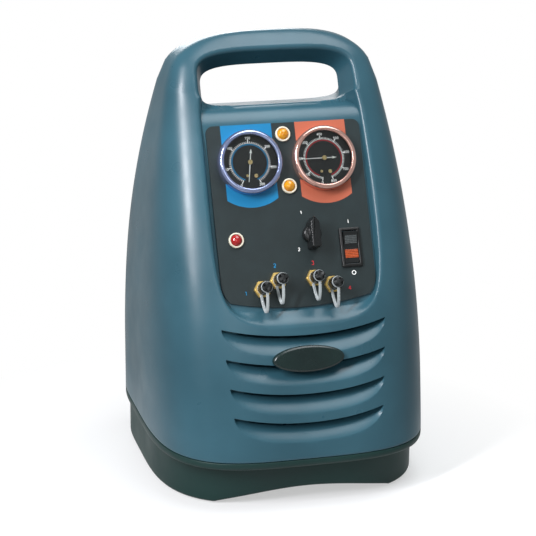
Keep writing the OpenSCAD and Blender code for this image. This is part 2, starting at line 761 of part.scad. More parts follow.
// Compressor on a plate with rubber mounts
plate_low = floor_top + 6;
cradle_z = plate_low + 3;
motor_from = -100;
crank_from = 12;
crank_to = 84;
crank_half = 36;
crank_top = motor_z + motor_r + 2;
head_x = [crank_from + 16, crank_to - 16];
head_core_r = head_r - 8;
head_h = 28;
mount_at = [[-80, -40], [-80, 40], [74, -40], [74, 40]];
module vibration_mounts() {
    color([0.05, 0.05, 0.05]) from_axis() for (p = mount_at)
        translate([p[0], motor_y + p[1], floor_top]) cylinder(r = 10, h = plate_low - floor_top);
}
module compressor_plate() {
    color([0.45, 0.46, 0.47]) from_axis() translate([motor_from + 4, motor_y - 52, plate_low])
        cube([crank_to - motor_from, 104, cradle_z - plate_low]);
}
module compressor_motor() {
    color([0.1, 0.1, 0.11]) from_axis() {
        translate([motor_from, motor_y, motor_z]) rotate([0, 90, 0])
            cylinder(r = motor_r, h = crank_from - motor_from);
        for (x = [motor_from + 14, crank_from - 24])
            translate([x, motor_y - 34, cradle_z]) cube([10, 68, motor_z - cradle_z - 20]);
    }
}
module compressor_crankcase() {
    color([0.62, 0.63, 0.64]) from_axis() translate([crank_from, motor_y - crank_half, cradle_z])
        cube([crank_to - crank_from, 2 * crank_half, crank_top - cradle_z]);
}
module compressor_heads() {
    fins = 5;
    color([0.68, 0.69, 0.7]) from_axis() for (x = head_x) translate([x, motor_y, crank_top]) {
        cylinder(r = head_core_r, h = head_h);
        for (i = [1 : fins])
            translate([0, 0, head_h * i / (fins + 1) - 1]) cylinder(r = head_core_r + 4, h = 2);
        translate([0, 0, head_h]) cylinder(r = head_core_r + 2, h = 8);
    }
}
capacitor_r = 19;
capacitor_h = 84;
capacitor_y = 12;
capacitor_gap = 7;
module start_capacitor() {
    color([0.2, 0.21, 0.22]) from_axis()
        translate([skirt_half_w - wall - capacitor_gap - capacitor_r, capacitor_y, floor_top])
            cylinder(r = capacitor_r, h = capacitor_h);
}

// Condenser with its fan: the shroud stands on the base floor and carries core and fan motor
shroud_t = 3;
collar_l = 30;
collar_r = fan_r + 4;
motor_can_r = 30;
arm_w = 8;
arm_t = 6;
core_low = fan_z - core_half;
core_high = fan_z + core_half;
tube_y = core_y + core_d / 2;
bend_r = 9;
bend_n = 5;
pipe_r = 4;
module condenser_core() {
    fins = 12;
    color([0.7, 0.71, 0.72]) from_axis() difference() {
        translate([-core_half, core_y, core_low]) cube([2 * core_half, core_d, 2 * core_half]);
        for (i = [1 : fins - 1])
            translate([-core_half + 2 * core_half * i / fins - 2, core_y + core_d - 4, core_low + 6])
                cube([4, 10, 2 * core_half - 12]);
    }
}
module condenser_bends() {
    color([0.72, 0.42, 0.28]) from_axis() for (s = [-1, 1]) for (i = [0 : bend_n - 1])
        translate([s * core_half, tube_y, core_low + 40 + (2 * core_half - 80) * i / (bend_n - 1)])
            rotate([90, 0, 0]) rotate(s > 0 ? -90 : 90) rotate_extrude(angle = 180)
                translate([bend_r, 0]) circle(r = pipe_r);
}
module fan_shroud() {
    color([0.15, 0.15, 0.16]) from_axis() {
        difference() {
            translate([-core_half, core_y - shroud_t, floor_top])
                cube([2 * core_half, shroud_t, core_high - floor_top]);
            translate([0, 0, fan_z]) rotate([-90, 0, 0]) cylinder(r = collar_r, h = 200);
        }
        translate([0, core_y - collar_l, fan_z]) rotate([-90, 0, 0]) difference() {
            cylinder(r = collar_r + shroud_t, h = collar_l - eps);
            translate([0, 0, -1]) cylinder(r = collar_r, h = collar_l + 2);
        }
        translate([0, core_y - collar_l - arm_t + 1, fan_z]) rotate([-90, 0, 0]) difference() {
            for (a = [45, 135]) rotate(a) translate([-collar_r - shroud_t + 1, -arm_w / 2, 0])
                cube([2 * (collar_r + shroud_t - 1), arm_w, arm_t]);
            translate([0, 0, -1]) cylinder(r = 5.2, h = arm_t + 2);
        }
    }
}
fan_back = core_y - 6;
fan_hub_l = 20;
fan_motor_end = core_y - collar_l - arm_t + 1;
shaft_r = 3;
module fan_motor() {
    color([0.3, 0.31, 0.32]) from_axis() translate([0, fan_motor_end, fan_z]) rotate([90, 0, 0])
        difference() {
            union() {
                cylinder(r = motor_can_r, h = 32);
                translate([0, 0, 32]) cylinder(r1 = motor_can_r, r2 = 14, h = 6);
            }
            translate([0, 0, -1]) cylinder(r = shaft_r + run_gap, h = 21);
        }
}
module fan_blades() {
    pitch = 28;
    color([0.14, 0.14, 0.15]) from_axis() translate([0, fan_back, fan_z]) rotate([90, 0, 0]) {
        cylinder(r = 18, h = fan_hub_l);
        cylinder(r = shaft_r, h = fan_back - fan_motor_end + 18);
        intersection() {
            cylinder(r = fan_r, h = fan_hub_l);
            for (i = [0 : fan_blades_n - 1]) rotate(360 * i / fan_blades_n) translate([12, 0, fan_hub_l / 2])
                rotate([pitch, 0, 0]) translate([0, -18, -1]) cube([fan_r, 36, 2]);
        }
    }
}

// Copper lines: straight runs with a ball at each bend, or carried past the bend on the thin ones
line_r = 3.2;
thin_r = 1.6;
function on_plate(u, v, h) =
    [u, panel_y + v * sin(lean) - h * cos(lean), panel_z + v * cos(lean) + h * sin(lean)];
module run_between(a, b, r, before, after) {
    d = b - a;
    translate(a) rotate([0, acos(d[2] / norm(d)), atan2(d[1], d[0])]) translate([0, 0, -before])
        cylinder(r = r, h = norm(d) + before + after);
}
module run_line(p, r) {
    for (i = [0 : len(p) - 2]) run_between(p[i], p[i + 1], r, 0, 0);
    for (i = [1 : len(p) - 2]) translate(p[i]) sphere(r = 1.15 * r);
}
module run_mitred_line(p, r) {
    last = len(p) - 2;
    for (i = [0 : last]) run_between(p[i], p[i + 1], r, i > 0 ? r : 0, i < last ? r : 0);
}
head_top = crank_top + head_h + 8;
side = core_half + bend_r + pipe_r + 6;
module suction_tube() {
    color([0.72, 0.42, 0.28]) from_axis() run_mitred_line([
        on_plate(-30, manifold_v, -manifold_far), on_plate(-30, manifold_v, -manifold_far - 14),
        [head_x[0], motor_y, head_top + 28], [head_x[0], motor_y, head_top]], line_r);
}
module discharge_tube() {
    color([0.72, 0.42, 0.28]) from_axis() run_line([
        [head_x[1], motor_y, head_top], [head_x[1], motor_y, head_top + 14], [side, motor_y, head_top + 14],
        [side, tube_y, head_top + 14], [side, tube_y, core_high - 12], [core_half, tube_y, core_high - 12]],
        line_r);
}
module liquid_tube() {
    end = on_plate(port_at[0][0] - 13, manifold_v, manifold_h);
    color([0.72, 0.42, 0.28]) from_axis() run_line([
        [-core_half, tube_y, core_low + 12], [-side, tube_y, core_low + 12], [-side, tube_y, end[2]],
        [-side, end[1], end[2]], end], line_r);
}
module gauge_lines() {
    top = gauge_v - 15;
    low = port_at[1][1] + 11;
    color([0.72, 0.42, 0.28]) from_axis() for (s = [-1, 1]) run_mitred_line([
        on_plate(s * gauge_u, top, -case_depth), on_plate(s * gauge_u, top, -case_depth - 14),
        on_plate(s * gauge_u, low + 16, -case_depth - 14), on_plate(s * gauge_u, low + 16, manifold_h),
        on_plate(s * gauge_u, low, manifold_h)], thin_r);
}

// Bush where the supply cord enters at the back
gland_bore = 4.2;
module cord_gland() {
    color([0.06, 0.06, 0.06]) from_axis() translate([gland_x, rear_reach, gland_z]) rotate([-90, 0, 0])
        difference() {
            union() {
                translate([0, 0, -14]) cylinder(r = gland_r, h = 14);
                cylinder(r = gland_r + 3, h = gland_out);
            }
            translate([0, 0, -20]) cylinder(r = gland_bore, h = 40);
        }
}

front_shell();
rear_shell();
base_tray();
foot_pads();
shell_screws();
badge_plate();
control_panel();
low_gauge_case();
low_gauge_dial();
low_gauge_pointer();
low_gauge_bezel();
low_gauge_lens();
high_gauge_case();
high_gauge_dial();
high_gauge_pointer();
high_gauge_bezel();
high_gauge_lens();
lamp_bezels();
lamp_holders();
liquid_lamp_lens();
vapour_lamp_lens();
fault_lamp_lens();
selector_knob();
selector_stem();
selector_valve();
switch_frame();
switch_rocker();
switch_upper_window();
switch_lower_window();
switch_body();
port_fittings();
port_nuts();
cap_straps();
tank_liquid_cap();
system_liquid_cap();
tank_vapour_cap();
system_vapour_cap();
tank_liquid_eye();
system_liquid_eye();
tank_vapour_eye();
system_vapour_eye();
valve_manifold();
compressor_motor();
compressor_crankcase();
compressor_heads();
compressor_plate();
vibration_mounts();
condenser_core();
condenser_bends();
fan_shroud();
fan_motor();
fan_blades();
suction_tube();
discharge_tube();
liquid_tube();
gauge_lines();
pressure_switch();
start_capacitor();
cord_gland();
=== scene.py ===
"""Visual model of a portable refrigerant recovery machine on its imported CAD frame.

Lengths in the formulas are millimetres; meshes are written in metres. y is measured from the body
axis in the housing formulas and from the row origin everywhere else.
"""
import json
import math

import bpy
import numpy as np
from mathutils import Matrix, Vector


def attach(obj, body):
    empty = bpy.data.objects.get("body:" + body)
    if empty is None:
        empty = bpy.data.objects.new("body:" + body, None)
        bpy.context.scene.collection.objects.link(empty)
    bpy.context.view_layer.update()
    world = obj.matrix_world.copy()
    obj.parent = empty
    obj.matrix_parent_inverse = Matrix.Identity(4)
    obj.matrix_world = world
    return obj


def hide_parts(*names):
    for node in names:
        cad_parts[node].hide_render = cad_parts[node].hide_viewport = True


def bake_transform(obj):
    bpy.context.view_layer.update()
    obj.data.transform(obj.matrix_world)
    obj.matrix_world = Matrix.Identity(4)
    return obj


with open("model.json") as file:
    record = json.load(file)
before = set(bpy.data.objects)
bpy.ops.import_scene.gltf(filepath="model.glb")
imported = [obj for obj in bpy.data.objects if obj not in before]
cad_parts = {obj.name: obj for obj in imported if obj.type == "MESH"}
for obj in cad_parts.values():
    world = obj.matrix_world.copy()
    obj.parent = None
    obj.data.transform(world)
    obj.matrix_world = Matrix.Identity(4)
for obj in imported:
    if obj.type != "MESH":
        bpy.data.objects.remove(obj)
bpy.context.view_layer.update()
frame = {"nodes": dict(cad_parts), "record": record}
nodes = frame["nodes"]

MM = 0.001
AXIS_Y = 25.25
BODY_H, SEAM_Z, SPLIT_Y, BACK_TOP, PART_GAP = 480.0, 57.0, 75.0, 376.0, 0.6
BODY_HALF, FRONT_REACH, REAR_REACH = 152.5, 183.5, 130.0
LEAN = math.radians(25.3)
EU = np.array([1.0, 0.0, 0.0])
EV = np.array([0.0, math.sin(LEAN), math.cos(LEAN)])
EN = np.array([0.0, -math.cos(LEAN), math.sin(LEAN)])
PANEL_O = np.array([0.0, AXIS_Y - 93.0, 300.0])
GAUGE_U, GAUGE_V = 41.0, 59.3
FIELD_R, FIELD_HALF = 48.3, 28.0
PORTS = [(-41.0, -77.0), (-23.0, -69.0), (17.0, -69.0), (36.5, -77.0)]
PORT_NAMES = ["tank_liquid", "system_liquid", "tank_vapour", "system_vapour"]


def panel(u, v, h):
    """Point at (u, v) on the panel plane and h in front of it."""
    u, v, h = np.broadcast_arrays(np.asarray(u, float), np.asarray(v, float), np.asarray(h, float))
    return PANEL_O + u[..., None] * EU + v[..., None] * EV + h[..., None] * EN


class Shape:
    """Collects grids and end faces, in millimetres, for one mesh."""

    def __init__(self):
        self.verts, self.faces, self.count = [], [], 0

    def grid(self, points, rows=False, cols=False, flip=False):
        """Adds a grid of points; rows or cols closes it that way round. Returns its vertex numbers."""
        points = np.asarray(points, float)
        a, b = points.shape[:2]
        ids = np.arange(a * b).reshape(a, b) + self.count
        self.verts.append(points.reshape(-1, 3))
        self.count += a * b
        r = np.vstack([ids, ids[:1]]) if rows else ids
        r = np.hstack([r, r[:, :1]]) if cols else r
        quads = np.stack([r[:-1, :-1], r[:-1, 1:], r[1:, 1:], r[1:, :-1]], -1).reshape(-1, 4)
        self.faces += (quads[:, ::-1] if flip else quads).tolist()
        return ids

    def solid(self, points, flip=False):
        """Adds a stack of closed rings with a face on each end."""
        ids = self.grid(points, cols=True, flip=flip)
        ends = [ids[0][::-1].tolist(), ids[-1].tolist()]
        self.faces += [e[::-1] for e in ends] if flip else ends

    def make(self, name, material=None, sharp=35.0):
        """Writes the mesh and shades it smooth up to the given angle."""
        mesh = bpy.data.meshes.new(name)
        mesh.from_pydata((np.concatenate(self.verts) * MM).tolist(), [], self.faces)
        mesh.update()
        obj = bpy.data.objects.new(name, mesh)
        bpy.context.scene.collection.objects.link(obj)
        if material:
            mesh.materials.append(material)
        if sharp is not None:
            shade(mesh, sharp)
        return obj


def shade(mesh, angle):
    mesh.polygons.foreach_set("use_smooth", np.ones(len(mesh.polygons), bool))
    mesh.set_sharp_from_angle(angle=math.radians(angle))


def spun(profile, steps, u, v):
    """A profile of (radius, h) turned about the panel normal at (u, v)."""
    profile = np.asarray(profile, float)
    a = np.linspace(0, 2 * np.pi, steps, endpoint=False)
    r, h = profile[:, :1], profile[:, 1:]
    return panel(u + r * np.cos(a), v + r * np.sin(a), h + 0 * a)


# Housing formulas, as in the CAD source

FRONT_N, REAR_N = 3.66, 5.0
SIDE_FROM, SIDE_CURVE = 120.0, 0.00036
FRONT_SLOPE, FRONT_CURVE = 0.143, 0.0007
REAR_FROM, REAR_CURVE = 220.0, 0.00145
MID_FROM, MID_SHIFT = 300.0, 16.0
SIDE_CROWN, FACE_CROWN = (55.0, 3.0), (30.0, 2.5)
LEAST_HALF = 0.5


def crown(z, drop, n):
    """Share of the width left at z: one, then a superellipse quarter over the last drop below the top."""
    q = np.clip((z - BODY_H + drop) / drop, 0, 1)
    return (1 - q**n) ** (1 / n)


def half_w(z):
    """Half width: constant up to SIDE_FROM, then less by a square law, and closed by the crown."""
    return (BODY_HALF - SIDE_CURVE * np.maximum(0, z - SIDE_FROM) ** 2) * crown(z, *SIDE_CROWN)


def mid_y(z):
    """Line between front and rear half of a ring: on the axis, then shifted back by a square law."""
    return MID_SHIFT * (np.maximum(0, z - MID_FROM) / (BODY_H - MID_FROM)) ** 2


def front_y(z):
    """Front of the housing: a parabola in the height over the seam."""
    return -FRONT_REACH + FRONT_SLOPE * (z - SEAM_Z) + FRONT_CURVE * (z - SEAM_Z) ** 2


def front_f(z):
    """Depth of a ring's front half, closed by the crown."""
    return (mid_y(z) - front_y(z)) * crown(z, *FACE_CROWN)


def rear_y(z):
    """Back of the housing: upright up to REAR_FROM, then drawn in by a square law."""
    return REAR_REACH - REAR_CURVE * np.maximum(0, z - REAR_FROM) ** 2


def rear_f(z):
    """Depth of a ring's rear half, closed by the crown."""
    return (rear_y(z) - mid_y(z)) * crown(z, *FACE_CROWN)


def skin_y(x, z):
    """Front surface of the housing over (x, z)."""
    w = np.minimum(0.999, np.abs(x) / half_w(z))
    return mid_y(z) - front_f(z) * (1 - w**FRONT_N) ** (1 / FRONT_N)


def outside(p):
    """Below zero inside the housing and above zero outside it; p is in the row frame."""
    x, y, z = p[..., 0], p[..., 1] - AXIS_Y, np.clip(p[..., 2], SEAM_Z, BODY_H - 0.02)
    d = y - mid_y(z)
    w = np.abs(x) / half_w(z)
    before = w**FRONT_N + np.abs(d / front_f(z)) ** FRONT_N
    behind = w**REAR_N + np.abs(d / rear_f(z)) ** REAR_N
    q = np.where(d < 0, before, behind)
    return q - 1 + np.maximum(0, p[..., 2] - BODY_H)


def crossing(curve, low, high, shape):
    """Where curve(s) leaves the housing, by halving the span between low and high."""
    low, high = np.full(shape, float(low)), np.full(shape, float(high))
    for _ in range(36):
        mid = (low + high) / 2
        out = outside(curve(mid)) > 0
        low, high = np.where(out, low, mid), np.where(out, mid, high)
    return (low + high) / 2


def oval(t, half, low, high, mid, n_low, n_high):
    """Superellipse outline with its own exponent below and above mid."""
    c, s = np.cos(t), np.sin(t)
    e = 2 / np.where(s < 0, n_low, n_high)
    x = half * np.sign(c) * np.abs(c) ** e
    y = mid + np.where(s < 0, -(mid - low), high - mid) * np.abs(s) ** e
    return x, y


def even_angles(count, outline):
    """Angles whose outline points are evenly spaced along it."""
    t = np.linspace(0, 2 * np.pi, 8001)
    x, y = outline(t)
    run = np.concatenate([[0], np.cumsum(np.hypot(np.diff(x), np.diff(y)))])
    return np.interp(np.arange(count) / count * run[-1], run, t)


def body_rings(z, t, inset):
    """Rings of the housing at heights z, drawn in by inset."""
    z, inset = z[:, None], inset[:, None]
    c, s = np.cos(t), np.sin(t)
    e = 2 / np.where(s < 0, FRONT_N, REAR_N)
    x = np.maximum(LEAST_HALF, half_w(z) - inset) * np.sign(c) * np.abs(c) ** e
    before, behind = np.maximum(LEAST_HALF, front_f(z) - inset), np.maximum(LEAST_HALF, rear_f(z) - inset)
    d = np.where(s < 0, -before, behind) * np.abs(s) ** e
    return np.stack([x, AXIS_Y + mid_y(z) + d, z + 0 * x], -1)


def carve(obj, cutters, operation="DIFFERENCE"):
    """Cuts solids out of obj, or keeps what lies in them, and removes the cutters."""
    for cutter in cutters:
        m = obj.modifiers.new("cut", "BOOLEAN")
        m.object, m.operation, m.solver = cutter, operation, "MANIFOLD"
    graph = bpy.context.evaluated_depsgraph_get()
    mesh = bpy.data.meshes.new_from_object(obj.evaluated_get(graph))
    obj.modifiers.clear()
    obj.data = mesh
    for cutter in cutters:
        bpy.data.objects.remove(cutter)


def block(name, low, high):
    low, high = np.asarray(low, float), np.asarray(high, float)
    s = Shape()
    x, y = [low[0], high[0], high[0], low[0]], [low[1], low[1], high[1], high[1]]
    s.solid([[[a, b, z] for a, b in zip(x, y)] for z in (low[2], high[2])])
    return s.make(name, sharp=None)


# Recess, hand opening and louvres as cutting solids

DRAFT = 0.311
WAIST_H, WAIST_HALF = -36.0, 77.5
FLOOR_H, ROLL_FROM, ROLL_R, ROLL_RUN = -2.5, 101.5, 25.0, 24.0
RIM_R = 4.5
EXIT_Y, EXIT_HALF, EXIT_LOW, EXIT_HIGH = 110.0, 111.0, 380.0, 440.0
HAND_N = (6.0, 3.6)


def wall_half(h):
    """Half width of the drafted wall: the waist's plus the draft times the height over it."""
    return WAIST_HALF + DRAFT * (h - WAIST_H)


def recess_floor(v):
    """Flat behind the plate, then rolled back over the bridge under the hand opening."""
    roll = np.clip(v - ROLL_FROM, 0, ROLL_RUN)
    return FLOOR_H - (ROLL_R - np.sqrt(ROLL_R**2 - roll**2))


def recess_outline(t, h):
    """Outline of the recess at h: its lower end runs out, and its lower corners soften, as h rises."""
    rise = h - FLOOR_H
    n_low = 4.4 + 3.6 * np.maximum(0, 1 - np.maximum(rise, 0) / 10)
    return oval(t, wall_half(h), -100.0 - 1.6 * rise, 150.0, 45.0, n_low, 9.0)


def hand_outline(t, h):
    """Outline of the hand opening at h, drafted at the sides and above."""
    low = 126.0 - (h - FLOOR_H) / 34.0
    high = 175.4 + DRAFT * (h - WAIST_H)
    return oval(t, wall_half(h), low, high, (low + high) / 2, *HAND_N)


def rim_rings(outline, t, radius):
    """Rings of a well from above the skin, round its filleted rim and down its wall.

    The rim is where the drafted outline meets the skin; the fillet is a quarter circle that starts
    on the skin and ends on the wall.
    """
    rim = crossing(lambda h: panel(*outline(t, h), h), -20, 45, t.shape)
    u, v = outline(t, rim)
    du, dv = np.roll(u, -1) - np.roll(u, 1), np.roll(v, -1) - np.roll(v, 1)
    size = np.hypot(du, dv)
    nu, nv = dv / size, -du / size
    rings = []
    for lift, spread in ((26.0, 3.0), (0.6, 1.0)):
        e = radius + spread
        top = crossing(lambda h: panel(u + e * nu, v + e * nv, h), -40, 60, t.shape)
        rings.append(panel(u + e * nu, v + e * nv, top + lift))
    for a in np.radians(np.linspace(7, 90, 9)):
        e, d = radius * (1 - np.sin(a)), radius * (1 - np.cos(a))
        top = crossing(lambda h: panel(u + e * nu, v + e * nv, h), -40, 60, t.shape)
        base = outline(t, rim - d)
        rings.append(panel(base[0] + e * nu, base[1] + e * nv, np.minimum(top, rim + 4) - d))
    return rings, rim - radius


def recess_cutter():
    """Rim, drafted wall and floor of the panel recess, closed above the skin."""
    t = even_angles(420, lambda a: recess_outline(a, np.zeros_like(a)))
    rings, wall_top = rim_rings(recess_outline, t, RIM_R)
    floor = np.full(t.shape, FLOOR_H)
    for _ in range(12):
        floor = 0.5 * floor + 0.5 * recess_floor(recess_outline(t, floor)[1])
    for q in np.linspace(0, 1, 10)[1:]:
        h = wall_top + (floor - wall_top) * q
        u, v = recess_outline(t, h)
        rings.append(panel(u, v, h))
    u, v = recess_outline(t, floor)
    for f in np.linspace(0.985, 0.05, 26):
        vf = 30.0 + f * (v - 30.0)
        rings.append(panel(u * f, vf, recess_floor(vf)))
    s = Shape()
    s.solid(np.array(rings)[::-1])
    return s.make("recess_cut", sharp=None)


def hand_cutter():
    """Rim and drafted wall down to the waist, then straight lines to the wider exit and its own rim."""
    t = even_angles(360, lambda a: hand_outline(a, np.zeros_like(a)))
    rings, wall_top = rim_rings(hand_outline, t, RIM_R)
    for q in np.linspace(0, 1, 12)[1:]:
        h = wall_top + (WAIST_H - wall_top) * q
        rings.append(panel(*hand_outline(t, h), h))
    near = rings[-1]
    exit_z = (EXIT_LOW + EXIT_HIGH) / 2
    x, z = oval(t, EXIT_HALF, EXIT_LOW, EXIT_HIGH, exit_z, *HAND_N)
    far = np.stack([x, np.full(t.shape, AXIS_Y + EXIT_Y), z], -1)
    edge = crossing(lambda q: near + (far - near) * q[:, None], 0.05, 1.0, t.shape)[:, None]
    for q in (0.02, 0.06, 0.15, 0.3, 0.5, 0.7, 0.85):
        rings.append(near + (far - near) * edge * q)
    out = np.stack([x, np.zeros(t.shape), z - exit_z], -1)
    out /= np.linalg.norm(out, axis=1)[:, None]
    for a in np.radians(np.linspace(0, 84, 8)):
        rings.append(near + (far - near) * (edge - 0.03 + 0.034 * np.sin(a)) + RIM_R * (1 - np.cos(a)) * out)
    rings.append(near + (far - near) * (edge + 0.25) + 6.0 * out)
    s = Shape()
    s.solid(np.array(rings)[::-1])
    return s.make("hand_cut", sharp=None)


LOUVRE_TOP, LOUVRE_PITCH, LOUVRE_HALF, LOUVRE_SAG = 185.5, 30.0, 90.0, 9.5
LOUVRE_H, LOUVRE_D, LOUVRE_MOUTH = 20.5, 12.0, 5.6


def louvre_cutter(k):
    """A scoop swept along a smile: a crisp lip, a deep slot under it and a floor that runs out below."""
    length = LOUVRE_HALF - 2.6 * k
    x = length * np.sin(np.linspace(-np.pi / 2, np.pi / 2, 121))[:, None]
    lip = LOUVRE_TOP - LOUVRE_PITCH * k + LOUVRE_SAG * (x / length) ** 2
    fade = np.sqrt(np.maximum(0, 1 - (np.abs(x) / length) ** 5))
    height, depth = LOUVRE_H * fade + 0.4, LOUVRE_D * fade + 0.15
    mouth = LOUVRE_MOUTH * fade
    slot = np.clip((0.8 * length - np.abs(x)) / 5.0, 0.02, 1.0)
    q = np.linspace(0, 1, 17)[None, :]
    floor_z = lip - mouth - 0.2 - (height - mouth) * q
    floor_y = skin_y(x, floor_z) + depth * (1 - q) ** 1.25 - 0.25 * q
    top_y = skin_y(x, lip)
    z = np.hstack([lip + 7, lip + 0.6, lip + 0.15, lip - 0.1 * fade, lip - 0.35 * fade, lip - 0.5 * fade,
                   lip - mouth * 0.85 - 0.1, floor_z, floor_z[:, -1:] - 5])
    y = np.hstack([top_y - 9, top_y - 0.4, top_y + 0.2, top_y + 0.9 * fade + 0.2, top_y + depth + 0.1,
                   top_y + depth + 16 * slot, top_y + depth + 15 * slot, floor_y, floor_y[:, -1:] - 9])
    s = Shape()
    s.solid(np.stack([x + 0 * z, AXIS_Y + y, z], -1), flip=True)
    return s.make("louvre_cut", sharp=None)


# Materials: every colour is broken up by noise in object coordinates


def srgb(r, g, b):
    c = np.array([r, g, b], float) / 255
    return (*np.where(c <= 0.04045, c / 12.92, ((c + 0.055) / 1.055) ** 2.4).tolist(), 1.0)


class Tree:
    """Short names for building a material's nodes."""

    def __init__(self, name):
        self.mat = bpy.data.materials.new(name)
        self.mat.use_nodes = True
        self.tree = self.mat.node_tree
        self.tree.nodes.clear()
        self.out = self.node("ShaderNodeOutputMaterial")
        self.coord = self.node("ShaderNodeTexCoord").outputs["Object"]

    def node(self, kind, **settings):
        n = self.tree.nodes.new(kind)
        for key, value in settings.items():
            setattr(n, key, value)
        return n

    def put(self, socket, value):
        if isinstance(value, bpy.types.NodeSocket):
            self.tree.links.new(value, socket)
        else:
            socket.default_value = value

    def math(self, op, a, b=0.0):
        n = self.node("ShaderNodeMath", operation=op)
        self.put(n.inputs[0], a)
        self.put(n.inputs[1], b)
        return n.outputs[0]

    def noise(self, scale, detail=2.0, vector=None, warp=0.0):
        n = self.node("ShaderNodeTexNoise")
        self.put(n.inputs["Vector"], vector or self.coord)
        self.put(n.inputs["Scale"], scale)
        self.put(n.inputs["Detail"], detail)
        self.put(n.inputs["Distortion"], warp)
        return n.outputs["Fac"]

    def span(self, value, low, high, to_low=0.0, to_high=1.0):
        n = self.node("ShaderNodeMapRange")
        keys = ("Value", "From Min", "From Max", "To Min", "To Max")
        for key, v in zip(keys, (value, low, high, to_low, to_high)):
            self.put(n.inputs[key], v)
        return n.outputs["Result"]

    def mix(self, factor, a, b):
        n = self.node("ShaderNodeMix", data_type="RGBA")
        self.put(n.inputs[0], factor)
        self.put(n.inputs[6], a)
        self.put(n.inputs[7], b)
        return n.outputs[2]

    def bump(self, height, strength, distance):
        n = self.node("ShaderNodeBump")
        self.put(n.inputs["Height"], height)
        self.put(n.inputs["Strength"], strength)
        self.put(n.inputs["Distance"], distance)
        return n.outputs["Normal"]

    def along(self, direction, origin):
        """Distance of a point from origin along a direction, in millimetres."""
        a = self.node("ShaderNodeVectorMath", operation="SUBTRACT")
        self.put(a.inputs[0], self.coord)
        a.inputs[1].default_value = [float(c) * MM for c in origin]
        b = self.node("ShaderNodeVectorMath", operation="DOT_PRODUCT")
        self.put(b.inputs[0], a.outputs[0])
        b.inputs[1].default_value = [float(c) / MM for c in direction]
        return b.outputs["Value"]

    def finish(self, color, rough, metal=0.0, normal=None, **more):
        n = self.node("ShaderNodeBsdfPrincipled")
        self.put(n.inputs["Base Color"], color)
        self.put(n.inputs["Roughness"], rough)
        self.put(n.inputs["Metallic"], metal)
        if normal is not None:
            self.put(n.inputs["Normal"], normal)
        for key, value in more.items():
            self.put(n.inputs[key.replace("_", " ")], value)
        self.put(self.out.inputs["Surface"], n.outputs[0])
        return self.mat


def speckled(name, light, dark, rough, metal=0.0, grain=900.0, depth=0.00012, patch=28.0, share=0.4, **more):
    """Two close tones in soft patches and a fine grain, with a grained surface."""
    t = Tree(name)
    grain_n = t.noise(grain, 2.0, warp=1.5)
    patches, grains = t.math("MULTIPLY", t.noise(patch, 3.0), 1 - share), t.math("MULTIPLY", grain_n, share)
    tone = t.math("ADD", patches, grains)
    color = t.mix(t.span(tone, 0.35, 0.65), dark, light)
    roughness = t.span(t.noise(patch * 3, 2.0), 0.3, 0.7, rough * 0.88, min(1.0, rough * 1.12))
    return t.finish(color, roughness, metal, t.bump(grain_n, 0.35, depth), **more)


def brushed(name, light, dark, rough, stretch):
    """Metal with fine lines along one axis."""
    t = Tree(name)
    m = t.node("ShaderNodeMapping")
    t.put(m.inputs["Vector"], t.coord)
    m.inputs["Scale"].default_value = stretch
    lines = t.noise(900.0, 2.0, m.outputs[0])
    tone = t.span(lines, 0.3, 0.7)
    roughness = t.span(lines, 0.3, 0.7, rough * 0.8, rough * 1.3)
    return t.finish(t.mix(tone, dark, light), roughness, 1.0, t.bump(lines, 0.15, 0.00005))


def print_panel():
    """Panel film: charcoal with two colour fields that end in an arc round each gauge."""
    t = Tree("panel_film")
    u, v = t.along(EU, PANEL_O), t.along(EV, PANEL_O)
    grain_n = t.noise(1400.0, 2.0)
    tone = t.math("ADD", t.math("MULTIPLY", t.noise(60.0, 3.0), 0.4), t.math("MULTIPLY", grain_n, 0.6))
    color = t.mix(t.span(tone, 0.35, 0.65), srgb(18, 31, 32), srgb(28, 42, 44))
    dv = t.math("SUBTRACT", v, GAUGE_V)
    above = t.math("GREATER_THAN", dv, 0.0)
    blues, oranges = (srgb(2, 127, 178), srgb(0, 116, 166)), (srgb(192, 102, 75), srgb(181, 93, 67))
    for side, (light, dark) in ((-1, blues), (1, oranges)):
        du = t.math("SUBTRACT", u, side * GAUGE_U)
        reach = t.math("SQRT", t.math("ADD", t.math("MULTIPLY", du, du), t.math("MULTIPLY", dv, dv)))
        near = t.math("LESS_THAN", reach, FIELD_R)
        band = t.math("LESS_THAN", t.math("ABSOLUTE", du), FIELD_HALF)
        field = t.math("MULTIPLY", band, t.math("MAXIMUM", near, above))
        color = t.mix(field, color, t.mix(grain_n, dark, light))
    return t.finish(color, t.span(grain_n, 0.3, 0.7, 0.42, 0.55), 0.0, t.bump(grain_n, 0.25, 0.00006))


def clear_glass():
    t = Tree("gauge_glass")
    clear, gloss = t.node("ShaderNodeBsdfTransparent"), t.node("ShaderNodeBsdfGlossy")
    t.put(gloss.inputs["Roughness"], t.span(t.noise(90.0), 0.3, 0.7, 0.02, 0.06))
    t.put(clear.inputs["Color"], t.mix(t.noise(40.0), (0.95, 0.97, 0.97, 1), (1, 1, 1, 1)))
    f = t.node("ShaderNodeFresnel")
    t.put(f.inputs["IOR"], 1.35)
    m = t.node("ShaderNodeMixShader")
    t.put(m.inputs[0], f.outputs[0])
    t.put(m.inputs[1], clear.outputs[0])
    t.put(m.inputs[2], gloss.outputs[0])
    t.put(t.out.inputs["Surface"], m.outputs[0])
    return t.mat


def tinted(name, light, dark):
    """Lamp lens: tinted gloss with a faint glow of its own colour."""
    t = Tree(name)
    tone = t.span(t.noise(260.0, 2.0), 0.3, 0.7)
    color = t.mix(tone, dark, light)
    roughness = t.span(t.noise(500.0), 0.3, 0.7, 0.08, 0.16)
    return t.finish(color, roughness, Coat_Weight=0.6, Emission_Color=color, Emission_Strength=0.06)


